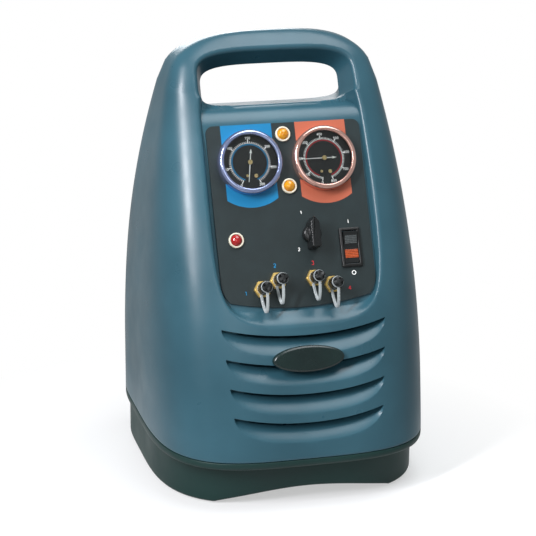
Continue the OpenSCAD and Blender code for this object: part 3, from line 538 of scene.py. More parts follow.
def ribbed(name, light, dark):
    """Window of a rocker: a moulded lens with fine cross ribs."""
    t = Tree(name)
    ribs = t.math("SINE", t.math("MULTIPLY", t.along(EV, PANEL_O), 3.6))
    tone = t.span(t.math("ADD", ribs, t.noise(300.0)), -0.6, 1.6)
    roughness = t.span(t.noise(500.0), 0.3, 0.7, 0.2, 0.32)
    return t.finish(t.mix(tone, dark, light), roughness, 0.0, t.bump(ribs, 0.3, 0.0002))


MOULDED = dict(grain=700.0, depth=0.00005, patch=9.0, share=0.12)
WHITE = (1, 1, 1, 1)
MATS = {
    "shell_blue": speckled("shell_blue", srgb(55, 96, 110), srgb(45, 83, 96), 0.31,
                           Specular_IOR_Level=0.45, **MOULDED),
    "shell_dark": speckled("shell_dark", srgb(20, 53, 49), srgb(15, 46, 43), 0.46,
                           Specular_IOR_Level=0.35, **MOULDED),
    "rubber": speckled("rubber", srgb(36, 37, 37), srgb(26, 27, 27), 0.75),
    "badge": speckled("badge", srgb(16, 38, 36), srgb(10, 29, 28), 0.26),
    "panel": print_panel(),
    "case_black": speckled("case_black", srgb(14, 15, 15), srgb(9, 10, 10), 0.4),
    "dial": speckled("dial", srgb(24, 27, 27), srgb(17, 20, 20), 0.6),
    # Needle: white with a faint glow of its own, painted brightness; the needle is no lamp.
    "needle": speckled("needle", srgb(250, 250, 244), srgb(238, 238, 230), 0.5,
                       Emission_Color=WHITE, Emission_Strength=0.2),
    "chrome": brushed("chrome", (0.62, 0.62, 0.66, 1), (0.5, 0.5, 0.55, 1), 0.16, (1.0, 1.0, 1.0)),
    "glass": clear_glass(),
    "lamp_ring": speckled("lamp_ring", srgb(238, 232, 212), srgb(222, 214, 190), 0.3),
    "amber": tinted("amber", srgb(226, 160, 18), srgb(196, 122, 4)),
    "red": tinted("red", srgb(176, 16, 20), srgb(132, 6, 10)),
    "knob_black": speckled("knob_black", srgb(22, 24, 25), srgb(14, 16, 17), 0.26, depth=0.00005),
    "cap_black": speckled("cap_black", srgb(28, 30, 31), srgb(18, 20, 21), 0.34),
    "strap": speckled("strap", srgb(202, 208, 208), srgb(170, 178, 180), 0.3,
                      Transmission_Weight=0.15, Coat_Weight=0.3),
    "window_grey": ribbed("window_grey", srgb(92, 98, 98), srgb(40, 43, 44)),
    "window_orange": ribbed("window_orange", srgb(202, 92, 46), srgb(120, 44, 16)),
    "brass": speckled("brass", (0.88, 0.62, 0.2, 1), (0.78, 0.52, 0.14, 1), 0.3, 0.55, depth=0.00004),
    "copper": brushed("copper", (0.84, 0.45, 0.28, 1), (0.72, 0.36, 0.22, 1), 0.3, (1.0, 2.0, 1.0)),
    "aluminium": brushed("aluminium", (0.74, 0.75, 0.77, 1), (0.62, 0.63, 0.65, 1), 0.36, (1.0, 1.0, 8.0)),
    "motor_paint": speckled("motor_paint", srgb(48, 50, 52), srgb(38, 40, 42), 0.4),
    "steel": brushed("steel", (0.6, 0.61, 0.62, 1), (0.5, 0.51, 0.52, 1), 0.32, (6.0, 1.0, 1.0)),
}
INK = {
    # White ink: print with a faint glow of its own, painted brightness on the dial scales and panel marks; the
    # ink is no lamp.
    "white": speckled("ink_white", srgb(250, 250, 246), srgb(240, 240, 236), 0.5,
                      Emission_Color=WHITE, Emission_Strength=0.4),
    "blue": speckled("ink_blue", srgb(4, 142, 200), srgb(2, 130, 186), 0.5),
    "red": speckled("ink_red", srgb(216, 40, 50), srgb(196, 28, 40), 0.5),
    "gold": brushed("gold", (0.85, 0.66, 0.32, 1), (0.72, 0.54, 0.24, 1), 0.3, (1.0, 1.0, 1.0)),
}

# Gauge bezel rims: chrome whose base colour is tinted blue on the low gauge and rose on the high gauge, a
# painted reflection of the coloured fields round them.
PAINTED_REFLECTION_RIMS = {
    "low": speckled("rim_painted_blue_reflection", (0.4, 0.46, 0.68, 1), (0.28, 0.33, 0.56, 1), 0.17, 0.85, depth=0.00003),
    "high": speckled("rim_painted_rose_reflection", (0.8, 0.5, 0.43, 1), (0.64, 0.36, 0.3, 1), 0.17, 0.85, depth=0.00003),
}

for part in frame["record"]["subparts"]:
    mesh = nodes[part["node"]].data
    mesh.materials.clear()
    mesh.materials.append(MATS[part["material_slot"]])


def soften(name, width, segments=2):
    """Rounds the edges of a CAD node by a modifier."""
    obj = nodes[name]
    obj.modifiers.new("joined_corners", "WELD").merge_threshold = 0.00001
    b = obj.modifiers.new("soft_edge", "BEVEL")
    b.width, b.segments, b.limit_method, b.angle_limit = width * MM, segments, "ANGLE", math.radians(35)
    b.use_clamp_overlap = True
    w = obj.modifiers.new("even_normals", "WEIGHTED_NORMAL")
    w.keep_sharp = True


# Housing shells

turn = even_angles(372, lambda a: oval(a, 152.0, -165.0, 130.0, 0.0, FRONT_N, REAR_N))
drop, crown_n = SIDE_CROWN
low_z = np.concatenate([[SEAM_Z, SEAM_Z + 0.3, SEAM_Z + 0.9], np.linspace(60, BODY_H - drop, 122)])
top_c = np.linspace(1, 0.03, 42)[1:]
levels = np.concatenate([low_z, BODY_H - drop + drop * (1 - top_c**crown_n) ** (1 / crown_n)])
insets = np.zeros(len(levels))
insets[:2] = 0.9, 0.3


def skin_solid(name):
    s = Shape()
    s.solid(body_rings(levels, turn, insets))
    return s.make(name, sharp=None)


def back_block(name, gap):
    """What lies behind the split and below the hand opening, drawn in by gap."""
    return block(name, (-300, AXIS_Y + SPLIT_Y + gap, 0), (300, 400, BACK_TOP - gap))


front = skin_solid("front_cover")
carve(front, [back_block("back_part", -PART_GAP / 2)])
carve(front, [recess_cutter(), hand_cutter()] + [louvre_cutter(k) for k in range(4)])
front.data.materials.clear()
front.data.materials.append(MATS["shell_blue"])
shade(front.data, 32)
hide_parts("front_shell")
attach(front, "housing")


GRILLE_LOW, GRILLE_H, GRILLE_N = 110.0, 190.0, 9
SLOT_HALF, SLOT_R = 78.0, 4.0
SCREW_Z, SCREW_IN = (105.0, 240.0, 320.0), 13.0


def slot_cutter(z):
    """A rounded slot through the back wall."""
    a = np.linspace(0, 2 * np.pi, 40, endpoint=False)
    x = SLOT_HALF * np.sign(np.cos(a)) + SLOT_R * np.cos(a)
    s = Shape()
    s.solid([np.stack([x, np.full(40, y), z + SLOT_R * np.sin(a)], -1) for y in (AXIS_Y + 200, AXIS_Y + 110)])
    return s.make("slot_cut", sharp=None)


def drill(x, z, r, y0, y1):
    """A round hole along y."""
    a = np.linspace(0, 2 * np.pi, 40, endpoint=False)
    s = Shape()
    s.solid([np.stack([x + r * np.cos(a), np.full(40, AXIS_Y + y), z + r * np.sin(a)], -1) for y in (y1, y0)])
    return s.make("drill_cut", sharp=None)


def rear_space():
    """The hollow behind the slots: a stack of rectangles that follows the back wall."""
    s = Shape()
    s.solid([[[-100, 0, z], [100, 0, z], [100, AXIS_Y + rear_y(z) - 5, z], [-100, AXIS_Y + rear_y(z) - 5, z]]
             for z in (60, 140, 220, 250, 280, 312)])
    return s.make("space_cut", sharp=None)


rear = skin_solid("rear_cover")
carve(rear, [back_block("rear_half", PART_GAP / 2)], "INTERSECT")
cuts = [rear_space(), drill(-60.0, 88.0, 8.1, 60, 200)]
cuts += [slot_cutter(GRILLE_LOW + GRILLE_H * (i + 0.5) / GRILLE_N) for i in range(GRILLE_N)]
for z in SCREW_Z:
    for side in (-1, 1):
        cuts.append(drill(side * (half_w(np.array(z)) - SCREW_IN), z, 4.8, 81, 260))
carve(rear, cuts)
rear.data.materials.clear()
rear.data.materials.append(MATS["shell_dark"])
shade(rear.data, 32)
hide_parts("rear_shell")
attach(rear, "housing")


SKIRT_HALF, SKIRT_FRONT, SKIRT_REAR, SKIRT_N = 148.0, 163.0, 126.0, 3.2
SKIRT_FOOT, SKIRT_TOP, ARCH_H, ARCH_HALF = 1.5, 44.0, 15.0, 98.0
LIP = [(44.8, 0.02), (45.6, 0.1), (46.2, 0.3), (46.8, 0.6), (47.6, 0.82), (48.8, 0.94), (50.4, 0.99),
       (52.0, 1.0), (55.5, 1.0)]


def base_rings():
    """Skirt and lip: rings that blend from skirt to lip, with the foot edge lifted by the arch."""
    t = even_angles(360, lambda a: oval(a, 150.0, -170.0, 128.0, 0.0, 3.4, REAR_N))
    rings = []

    def ring(z, blend, inset, lifted):
        xs, ys = oval(t, SKIRT_HALF - inset, -SKIRT_FRONT + inset, SKIRT_REAR - inset, 0.0, SKIRT_N, REAR_N)
        xl, yl = oval(t, BODY_HALF - inset, -FRONT_REACH + inset, REAR_REACH - inset, 0.0, FRONT_N, REAR_N)
        x, y = xs + (xl - xs) * blend, ys + (yl - ys) * blend
        lift = ARCH_H * np.clip(np.cos(np.pi / 2 * np.clip(x / ARCH_HALF, -1, 1)), 0, 1) ** 0.8
        low = SKIRT_FOOT + (lift if lifted else 0)
        zz = np.full(t.shape, z) if not lifted else low + z
        return np.stack([x, AXIS_Y + y, zz], -1)

    rings.append(ring(18.0, 0, 7.0, False))
    rings.append(ring(0.2, 0, 6.0, True))
    for a in np.radians(np.linspace(0, 90, 8)):
        rings.append(ring(3.2 * (1 - np.cos(a)), 0, 3.2 * (1 - np.sin(a)), True))
    top = rings[-1]
    for q in np.linspace(0, 1, 8)[1:]:
        r = ring(SKIRT_TOP, 0, 0, False)
        r[:, 2] = top[:, 2] + (SKIRT_TOP - top[:, 2]) * q
        rings.append(r)
    for z, b in LIP:
        rings.append(ring(z, b, 0, False))
    rings.append(ring(56.1, 1.0, 0.3, False))
    rings.append(ring(SEAM_Z - PART_GAP, 1.0, 0.9, False))
    return np.array(rings)


s = Shape()
s.solid(base_rings())
base = s.make("base_skirt", MATS["shell_dark"], 40)
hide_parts("base_tray")
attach(base, "housing")


# Small pieces on the panel


def keep(shape, name, slot, body, *stands_for, sharp=35.0, material=None):
    """Finishes a piece: its mesh, what it stands for, what it moves with and its finish."""
    obj = shape.make(name, material or MATS[slot], sharp)
    if stands_for:
        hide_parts(*stands_for)
    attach(obj, body)
    return obj


def rounded(corners, radius, steps=8):
    """Closed outline of a polygon whose corners are drawn as parabolas that start radius from each corner."""
    p = np.asarray(corners, float)
    r = np.broadcast_to(np.asarray(radius, float), (len(p),))[:, None]
    back, ahead = np.roll(p, 1, 0) - p, np.roll(p, -1, 0) - p
    a = p + back / np.linalg.norm(back, axis=1)[:, None] * r
    b = p + ahead / np.linalg.norm(ahead, axis=1)[:, None] * r
    q = np.linspace(0, 1, steps)[None, :, None]
    return ((1 - q) ** 2 * a[:, None] + 2 * q * (1 - q) * p[:, None] + q**2 * b[:, None]).reshape(-1, 2)


def drawn_in(outline, inset):
    """A counterclockwise outline moved inwards along its normals."""
    d = np.roll(outline, -1, 0) - np.roll(outline, 1, 0)
    d /= np.linalg.norm(d, axis=1)[:, None]
    return outline + inset * np.stack([-d[:, 1], d[:, 0]], -1)


def raised(outline, steps, u, v):
    """Rings of an outline at (inset, h) steps over the panel."""
    rings = []
    for inset, h in steps:
        o = drawn_in(outline, inset)
        rings.append(panel(u + o[:, 0], v + o[:, 1], h))
    return np.array(rings)


def polar(radius, count):
    """Closed outline from a radius that depends on the angle."""
    a = np.linspace(0, 2 * np.pi, count, endpoint=False)
    r = radius(a)
    return np.stack([r * np.cos(a), r * np.sin(a)], -1)


def ribbon(shape, path, width, h):
    """A flat line of ink along a path of (u, v) points."""
    path = np.asarray(path, float)
    d = np.gradient(path, axis=0)
    d /= np.linalg.norm(d, axis=1)[:, None]
    side = np.stack([-d[:, 1], d[:, 0]], -1) * width / 2
    edge = np.stack([path + side, path - side], 1)
    shape.grid(panel(edge[..., 0], edge[..., 1], h))


def bow(cu, cv, ru, rv, start, end, count=16):
    a = np.radians(np.linspace(start, end, count))
    return np.stack([cu + ru * np.cos(a), cv + rv * np.sin(a)], -1)


def joined(*parts):
    return np.concatenate([np.asarray(p, float) for p in parts])


FIGURES = {
    "0": [bow(0.3, 0.5, 0.25, 0.45, 90, 452, 30)],
    "1": [[(0.12, 0.78), (0.33, 0.95), (0.34, 0.9), (0.34, 0.05)]],
    "2": [joined(bow(0.3, 0.68, 0.25, 0.27, 165, -32, 16), [(0.06, 0.06), (0.1, 0.05), (0.57, 0.05)])],
    "3": [joined(bow(0.28, 0.73, 0.23, 0.22, 150, -80, 14), bow(0.28, 0.28, 0.27, 0.24, 80, -150, 16))],
    "4": [[(0.44, 0.05), (0.44, 0.95)], [(0.44, 0.95), (0.05, 0.32), (0.08, 0.3), (0.62, 0.3)]],
    "5": [joined([(0.53, 0.95), (0.14, 0.95), (0.11, 0.92), (0.08, 0.55)],
                 bow(0.29, 0.34, 0.26, 0.29, 130, -150, 18))],
    "6": [bow(0.5, 0.44, 0.45, 0.5, 95, 180, 12), bow(0.3, 0.31, 0.25, 0.26, 180, 542, 26)],
    "7": [[(0.05, 0.95), (0.53, 0.95), (0.54, 0.92), (0.22, 0.05)]],
    "8": [bow(0.3, 0.73, 0.2, 0.21, 270, 632, 24), bow(0.3, 0.28, 0.26, 0.24, 90, 452, 26)],
}


def figures(shape, text, u, v, size, h, weight=0.15):
    """Plain numbers, upright and centred on (u, v)."""
    left = u - size * (0.78 * len(text) - 0.18) / 2
    for i, sign in enumerate(text):
        for stroke in FIGURES[sign]:
            p = np.asarray(stroke, float) * size + [left + i * 0.78 * size, v - size / 2]
            ribbon(shape, p, weight * size, h)


def disc(shape, u, v, radius, h0, h1, steps=32, rim=0.2):
    shape.solid(spun([(radius, h0), (radius, h1 - rim), (radius - rim, h1)], steps, u, v))


DIAL_H = 2.56
RING_R, LINE_R, TICK_FROM, TICK_LONG, TICK_SHORT = 19.6, 20.9, 20.7, 24.6, 22.8
SCALES = {
    "low": dict(side=-1, ring="blue", first=25.0, step=51.7, signs=[str(50 * i) for i in range(7)],
                reading=171.0, tip=21.5, tail=14.6),
    "high": dict(side=1, ring="red", first=9.0, step=41.5, signs=[str(100 * i) for i in range(9)],
                 reading=90.0, tip=22.4, tail=13.8),
}


def gauge(name, side, ring, first, step, signs, reading, tip, tail):
    """Bezel, printed scale and needle of one gauge; angles run clockwise from straight down."""
    u, v = side * GAUGE_U, GAUGE_V
    s = Shape()
    roll = np.radians(np.linspace(0, 100, 12))
    outer = np.stack([31.4 + 3.6 * np.cos(roll), 6.6 + 4.4 * np.sin(roll)], -1)
    inner = [(30.3, 10.9), (29.9, 10.5), (29.5, 9.8), (29.3, 9.55), (30.7, 9.5)]
    profile = joined([(30.7, 0.0), (34.5, 0.0), (35.0, 0.4)], outer, inner)
    s.grid(spun(profile, 128, u, v), rows=True, cols=True)
    # The bezel's blue or rose tint is a painted reflection, not its own colour.
    keep(s, name + "_bezel_ring", "chrome", "housing", name + "_gauge_bezel", sharp=50, material=PAINTED_REFLECTION_RIMS[name])

    def at(angle, r):
        a = np.radians(angle)
        return u - r * np.sin(a), v - r * np.cos(a)

    s = Shape()
    a = np.radians(np.linspace(20, 340, 160))
    ribbon(s, np.stack([u - RING_R * np.sin(a), v - RING_R * np.cos(a)], -1), 1.5, DIAL_H)
    keep(s, name + "_dial_ring", "dial", "housing", material=INK[ring])
    s = Shape()
    last = first + step * (len(signs) - 1)
    fine = np.linspace(first, last, (len(signs) - 1) * 10 + 1)
    for i, angle in enumerate(fine):
        long = i % 10 == 0
        ends = np.array([at(angle, TICK_FROM), at(angle, TICK_LONG if long else TICK_SHORT)])
        ribbon(s, ends, 0.95 if long else 0.55, DIAL_H)
    for i, text in enumerate(signs):
        r = 26.7 if len(text) < 3 else 26.4
        figures(s, text, *at(first + step * i, r), 3.0 if len(text) < 3 else 2.7, DIAL_H, 0.18)
    a = np.radians(np.linspace(first, last, 200))
    ribbon(s, np.stack([u - LINE_R * np.sin(a), v - LINE_R * np.cos(a)], -1), 0.25, DIAL_H)
    keep(s, name + "_dial_scale", "dial", "housing", material=INK["white"])
    s = Shape()
    disc(s, u - 3.9, v - 14.1, 1.5, 2.5, 3.0)
    disc(s, u + 5.5, v - 14.6, 2.1, 2.5, 3.1)
    keep(s, name + "_dial_screws", "brass", "housing", material=INK["gold"])

    turn_to = math.radians(reading)
    along = np.array([-math.sin(turn_to), math.cos(turn_to)])
    across = np.array([math.cos(turn_to), math.sin(turn_to)])
    edge = np.array([(-0.55, 0), (-0.4, -tail + 4.4), (-1.5, -tail + 4.9), (0, -tail), (1.5, -tail + 4.9),
                     (0.4, -tail + 4.4), (0.55, 0), (0.3, tip), (-0.3, tip)])
    o = edge[:, :1] * across + edge[:, 1:] * along
    s = Shape()
    s.solid(np.array([panel(u + o[:, 0], v + o[:, 1], h) for h in (4.0, 4.6)]))
    keep(s, name + "_needle_blade", "needle", name + "_needle", name + "_gauge_pointer")
    s = Shape()
    hub = [(0.8, -7.5), (0.8, 4.6), (2.6, 4.62), (2.6, 5.4), (2.3, 5.8), (1.2, 5.85), (1.1, 6.0)]
    s.solid(spun(hub, 40, u, v))
    keep(s, name + "_needle_hub", "brass", name + "_needle", material=INK["gold"])


for key, facts in SCALES.items():
    gauge(key, **facts)

LAMPS = {"liquid": (-1.2, 88.3, "amber"), "vapour": (0.0, 31.6, "amber"), "fault": (-64.0, -23.0, "red")}
s = Shape()
for u, v, _ in LAMPS.values():
    roll = np.radians(np.linspace(0, 180, 14))
    crest = np.stack([7.2 + 1.0 * np.cos(roll), 1.9 + 1.0 * np.sin(roll)], -1)
    s.grid(spun(joined([(6.2, 0.0), (8.2, 0.0)], crest), 72, u, v), rows=True, cols=True)
keep(s, "lamp_rings", "lamp_ring", "housing", "lamp_bezels")
for key, (u, v, tint) in LAMPS.items():
    a = np.radians(np.linspace(0, 88, 18))
    dome = np.stack([6.1 * np.cos(a), 1.2 + 4.8 * np.sin(a)], -1)
    s = Shape()
    s.solid(spun(joined([(6.1, 0.05)], dome), 64, u, v))
    keep(s, key + "_lamp_dome", tint, "housing", key + "_lamp_lens")

KNOB = (18.3, -22.0)
s = Shape()
s.solid(spun([(9.4, 1.0), (10.0, 1.5), (10.0, 7.2), (9.5, 8.4), (8.4, 9.2), (5.0, 9.6)], 96, *KNOB))
bar = [(-5.25, -16.5), (5.25, -16.5), (5.25, 10.6), (0.0, 17.6), (-5.25, 10.6)]
a = np.radians(np.linspace(0, 90, 7))
edge_r = 1.3
round_top = [(0.3 + edge_r * (1 - np.cos(q)), 20.7 + edge_r * np.sin(q)) for q in a]
s.solid(raised(rounded(bar, [2.4, 2.4, 2.0, 1.2, 2.0]), [(0.0, 1.2), (0.15, 8.0)] + round_top, *KNOB))
keep(s, "selector_grip", "knob_black", "selector", "selector_knob", sharp=40)

SWITCH = (60.5, -38.6)
outer = rounded([(-11.4, -21.2), (11.4, -21.2), (11.4, 21.2), (-11.4, 21.2)], 1.6)
inner = rounded([(-8.2, -18.0), (8.2, -18.0), (8.2, 18.0), (-8.2, 18.0)], 0.8)
s = Shape()
outside_wall = raised(outer, [(0.0, 0.0), (0.0, 2.2), (0.25, 2.7), (0.8, 3.0)], *SWITCH)
inside_wall = raised(inner, [(-0.5, 3.0), (0.0, 2.6), (0.0, 0.0)], *SWITCH)
s.grid(np.concatenate([outside_wall, inside_wall]), rows=True, cols=True)
keep(s, "switch_surround", "case_black", "housing", "switch_frame")

HEX = polar(lambda a: 9.6 * math.cos(math.pi / 6) / np.cos(np.mod(a, math.pi / 3) - math.pi / 6), 96)
HEX_R = np.linalg.norm(HEX, axis=1)


def cross_bar(swing):
    """Distance to the edge of a bar along a direction, from the sine or cosine of the angle to it."""
    return np.minimum(5.6, 2.0 / np.maximum(np.abs(swing), 1e-6))


CROSS = polar(lambda a: np.maximum(cross_bar(np.sin(a - 0.35)), cross_bar(np.cos(a - 0.35))), 144)
DROPS = [26.0, 26.0, 25.0, 26.0]
EYE_R, EYE_H, EYE_RISE, STRAP_LEAN = 6.35, 5.8, 14.3, 3.4
STRAP_HALF_W, STRAP_HALF_T = 1.6, 0.75
CAP_RINGS = [(5.75, 7.3, 0), (6.5, 7.3, 0), (7.0, 7.8, 0.6), (7.0, 9.0, 1), (7.0, 16.6, 1), (7.0, 17.6, 0.6),
             (6.6, 18.5, 0), (5.8, 18.8, 0), (4.0, 18.8, 0), (4.0, 21.4, 0)]
CAP_RING = [(4.25, 19.1), (5.9, 19.1), (6.2, 19.4), (6.2, 20.8), (5.9, 21.1), (4.25, 21.1)]
PORT_RING = [(5.75, 4.75), (6.65, 4.75), (6.95, 5.05), (6.95, 6.55), (6.65, 6.85), (5.75, 6.85)]


def thread(u, v, r, low, high, pitch):
    """A screw thread: the radius rises and falls with height less the turn about the axis."""
    a = np.linspace(0, 2 * np.pi, 64, endpoint=False)
    h = np.linspace(low, high, int((high - low) / pitch * 8))[:, None]
    fade = np.clip((high - h) / 1.2, 0, 1) * np.clip((h - low) / 0.8, 0, 1)
    wave = np.abs(np.mod(h / pitch - a / (2 * np.pi), 1) - 0.5) * 2
    rr = r - 0.45 * wave * fade
    return panel(u + rr * np.cos(a), v + rr * np.sin(a), h + 0 * a)


def flare_port(u, v, s):
    rings = []
    for h in (0.0, 3.0, 3.5, 3.9, 4.2, 4.5):
        limit = np.minimum(1.0, (8.7 + (4.5 - h) * 1.5) / HEX_R)[:, None] * HEX
        rings.append(panel(u + limit[:, 0], v + limit[:, 1], h))
    s.solid(np.array(rings))
    s.solid(thread(u, v, 5.55, 4.3, 14.6, 1.5))
    s.solid(spun([(5.0, 14.4), (5.0, 14.7), (3.5, 17.5), (2.3, 17.5), (2.2, 17.2)], 48, u, v))


s = Shape()
for u, v in PORTS:
    flare_port(u, v, s)
keep(s, "brass_ports", "brass", "housing", "port_fittings", sharp=28)

eyes = Shape()
for (u, v), name, drop in zip(PORTS, PORT_NAMES, DROPS):
    body = name + "_closure"
    s = Shape()
    a = np.linspace(0, 2 * np.pi, 144, endpoint=False)
    flute = 0.28 * (0.5 + 0.5 * np.cos(24 * a))
    radii = [r - f * flute for r, h, f in CAP_RINGS]
    s.solid(np.array([panel(u + r * np.cos(a), v + r * np.sin(a), h) for r, (_, h, _) in zip(radii, CAP_RINGS)]))
    s.solid(spun([(5.2, 21.4), (5.6, 21.7), (5.6, 22.3), (5.3, 22.7)], 64, u, v))
    s.solid(raised(CROSS, [(0.0, 22.4), (0.0, 24.2), (0.15, 24.6), (0.5, 24.8)], u, v))
    keep(s, name + "_dust_cap", "cap_black", body, name + "_cap", sharp=38)
    s = Shape()
    s.grid(spun(CAP_RING, 56, u, v), rows=True, cols=True)
    keep(s, name + "_cap_ring", "strap", body, name + "_eye")
    eyes.grid(spun(PORT_RING, 56, u, v), rows=True, cols=True)

    t = np.linspace(0, 1, 72)
    run = np.stack([v - EYE_R - (drop - EYE_R) * np.sin(np.pi * t) ** 0.8, EYE_H + EYE_RISE * t], -1)
    lean_to = -STRAP_LEAN * (1 - t[:, None]) ** 1.4
    d = np.gradient(run, axis=0)
    d /= np.linalg.norm(d, axis=1)[:, None]
    out = np.stack([-d[:, 1], d[:, 0]], -1)
    a = np.linspace(0, 2 * np.pi, 20, endpoint=False)
    wide = STRAP_HALF_W * np.sign(np.cos(a)) * np.abs(np.cos(a)) ** 0.5
    thick = STRAP_HALF_T * np.sign(np.sin(a)) * np.abs(np.sin(a)) ** 0.5
    vv = run[:, :1] + out[:, :1] * thick
    hh = run[:, 1:] + out[:, 1:] * thick
    s = Shape()
    s.solid(panel(u + lean_to + wide + 0 * vv, vv, hh), flip=True)
    strap = s.make(name + "_strap", MATS["strap"], 50)
    tuple((panel(u, v - 8, 6.0) * MM).tolist())
    tuple((panel(u, v - 8, 19.5) * MM).tolist())
    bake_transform(strap)
keep(eyes, "strap_eyes", "strap", "housing", "cap_straps")

# Plain marks: numbers at the ports and at the selector, a bar and a ring at the switch
INK_H = 0.06
PORT_MARKS = [(-59, -80), (-25, -52.5), (17, -52.5), (55, -82)]
blue, red, white = Shape(), Shape(), Shape()
for i, at in enumerate(PORT_MARKS):
    figures(blue if i < 2 else red, str(i + 1), *at, 4.4, INK_H, 0.17)
figures(white, "1", 10.0, 2.5, 3.6, INK_H, 0.16)
figures(white, "2", 3.5, -37.0, 3.6, INK_H, 0.16)
ribbon(white, [(61.0, -12.2), (61.0, -8.6)], 0.7, INK_H)
ribbon(white, bow(61.5, -66.0, 2.0, 2.0, 0, 363, 30), 0.7, INK_H)
keep(blue, "blue_marks", "panel", "housing", material=INK["blue"])
keep(red, "red_marks", "panel", "housing", material=INK["red"])
keep(white, "white_marks", "panel", "housing", material=INK["white"])

# Badge plate: an oval with a broad bevel, bare
BADGE_Z, BADGE_HALF_W, BADGE_HALF_H = 162.0, 39.0, 14.0
BADGE_RINGS = [(0.0, 0.0), (0.0, 3.6), (0.15, 4.1), (0.5, 4.5), (1.9, 5.8), (2.2, 5.95), (2.6, 6.0), (3.4, 6.0)]
tilt = math.atan(FRONT_SLOPE + 2 * FRONT_CURVE * (BADGE_Z - SEAM_Z))
out = np.array([0.0, -math.cos(tilt), math.sin(tilt)])
up = np.array([0.0, math.sin(tilt), math.cos(tilt)])
middle = np.array([0.0, AXIS_Y + float(front_y(BADGE_Z)) - 0.3, BADGE_Z])
a = np.linspace(0, 2 * np.pi, 160, endpoint=False)
oval_edge = np.stack([BADGE_HALF_W * np.cos(a), BADGE_HALF_H * np.sin(a)], -1)
rings = []
for inset, h in BADGE_RINGS:
    o = drawn_in(oval_edge, inset)
    rings.append(middle + o[:, :1] * EU + o[:, 1:] * up + h * out)
s = Shape()
s.solid(np.array(rings))
keep(s, "badge_oval", "badge", "housing", "badge_plate")

# CAD pieces that stay get soft edges
SOFT_EDGES = {"switch_rocker": 0.5, "switch_upper_window": 0.3, "switch_lower_window": 0.3, "foot_pads": 0.8,
              "cord_gland": 0.6}
for name, width in SOFT_EDGES.items():
    soften(name, width)

# Stage: white floor and surroundings, a narrow strip light at the left, a broad one above,
# two weak fills and one that lights the back. Gloss sees a share of the white.
GLOSS_SHARE = 0.3


def floor_paint():
    """White floor: it takes shadow round the object and turns to plain white away from it."""
    t = Tree("floor_white")
    away = t.node("ShaderNodeVectorMath", operation="DISTANCE")
    t.put(away.inputs[0], t.coord)
    away.inputs[1].default_value = (-0.07, -0.06, 0.0)
    paint, glow = t.node("ShaderNodeBsdfDiffuse"), t.node("ShaderNodeEmission")
    both = t.node("ShaderNodeMixShader")
    t.put(paint.inputs["Color"], t.mix(t.noise(3.0), (0.93, 0.93, 0.93, 1), (0.96, 0.96, 0.96, 1)))
    t.put(glow.inputs["Color"], WHITE)
    ray = t.node("ShaderNodeLightPath").outputs
    seen = t.math("ADD", ray["Is Camera Ray"], ray["Is Transmission Ray"])
    seen = t.math("ADD", seen, t.math("MULTIPLY", ray["Is Glossy Ray"], GLOSS_SHARE))
    t.put(glow.inputs["Strength"], t.span(seen, 0, 1, 0.2, 1.0))
    t.put(both.inputs[0], t.span(away.outputs["Value"], 0.2, 0.42, 0.5, 1.0))
    t.put(both.inputs[1], paint.outputs[0])
    t.put(both.inputs[2], glow.outputs[0])
    t.put(t.out.inputs["Surface"], both.outputs[0])
    return t.mat


s = Shape()
far = 6000.0
s.grid([[[-far, -far, 0.0], [far, -far, 0.0]], [[-far, far, 0.0], [far, far, 0.0]]])
floor = s.make("floor", floor_paint())

world = bpy.data.worlds.new("surroundings")
bpy.context.scene.world = world
world.use_nodes = True
wt = world.node_tree
wt.nodes.clear()
ray = wt.nodes.new("ShaderNodeLightPath").outputs
either, seen = wt.nodes.new("ShaderNodeMath"), wt.nodes.new("ShaderNodeMath")
either.operation = "MULTIPLY_ADD"
wt.links.new(ray["Is Glossy Ray"], either.inputs[0])
either.inputs[1].default_value = GLOSS_SHARE
wt.links.new(ray["Is Transmission Ray"], either.inputs[2])
wt.links.new(ray["Is Camera Ray"], seen.inputs[0])
wt.links.new(either.outputs[0], seen.inputs[1])
mixed = wt.nodes.new("ShaderNodeMixShader")
plain, bright = wt.nodes.new("ShaderNodeBackground"), wt.nodes.new("ShaderNodeBackground")
plain.inputs["Color"].default_value = (0.78, 0.96, 1.0, 1)
plain.inputs["Strength"].default_value = 0.16
bright.inputs["Color"].default_value = WHITE
bright.inputs["Strength"].default_value = 1.0
end = wt.nodes.new("ShaderNodeOutputWorld")
wt.links.new(seen.outputs[0], mixed.inputs[0])
wt.links.new(plain.outputs[0], mixed.inputs[1])
wt.links.new(bright.outputs[0], mixed.inputs[2])
wt.links.new(mixed.outputs[0], end.inputs["Surface"])


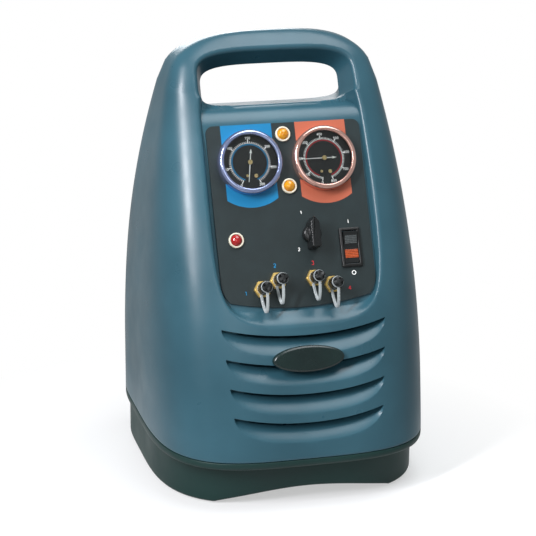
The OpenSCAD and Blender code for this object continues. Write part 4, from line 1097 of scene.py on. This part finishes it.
def lamp(name, place, target, size, power, color=(1, 1, 1)):
    data = bpy.data.lights.new(name, "AREA")
    data.shape, data.size, data.size_y = "RECTANGLE", size[0], size[1]
    data.energy, data.color = power, color
    obj = bpy.data.objects.new(name, data)
    bpy.context.scene.collection.objects.link(obj)
    obj.location = place
    obj.rotation_euler = (Vector(target) - Vector(place)).to_track_quat("-Z", "Y").to_euler()


lamp("strip", (-1.44, -1.05, 1.5), (0, 0, 0.3), (0.1, 1.3), 50.0, (0.97, 0.96, 1.0))
lamp("top", (0.45, -0.3, 2.2), (0, 0, 0.25), (1.6, 1.2), 30.0, (0.94, 0.97, 1.0))
lamp("front", (-0.3, -2.3, 1.3), (0, 0, 0.25), (0.9, 0.9), 6.0, (0.96, 0.97, 1.0))
lamp("fill", (2.2, -1.2, 0.7), (0, 0, 0.24), (1.0, 1.0), 0.8, (0.7, 0.96, 1.0))
lamp("behind", (0.2, 2.6, 1.2), (0, 0, 0.2), (1.2, 1.0), 22.0, (0.96, 0.98, 1.0))

# Camera, fitted to the photograph
CAMERA_AWAY, CAMERA_SIDE, CAMERA_AIM_Z = 2294.93, -1.2651, 212.531
az, el, roll = (math.radians(d) for d in (-15.0153, 17.5479, 0.4332))
back = np.array([math.sin(az) * math.cos(el), -math.cos(az) * math.cos(el), math.sin(el)])
level = np.array([math.cos(az), math.sin(az), 0.0])
upright = np.cross(back, level)
cr, sr = math.cos(roll), math.sin(roll)
right, above = level * cr + upright * sr, upright * cr - level * sr
place = level * CAMERA_SIDE + [0.0, AXIS_Y, CAMERA_AIM_Z] + back * CAMERA_AWAY
camera = bpy.data.objects.new("camera", bpy.data.cameras.new("camera"))
bpy.context.scene.collection.objects.link(camera)
camera.data.lens, camera.data.sensor_width = 137.58, 36.0
camera.data.clip_start, camera.data.clip_end = 0.05, 60.0
rows = np.column_stack([right, above, back, place * MM]).tolist()
camera.matrix_world = Matrix(rows + [[0, 0, 0, 1]])
bpy.context.scene.camera = camera

bpy.context.scene.view_settings.view_transform = "Standard"
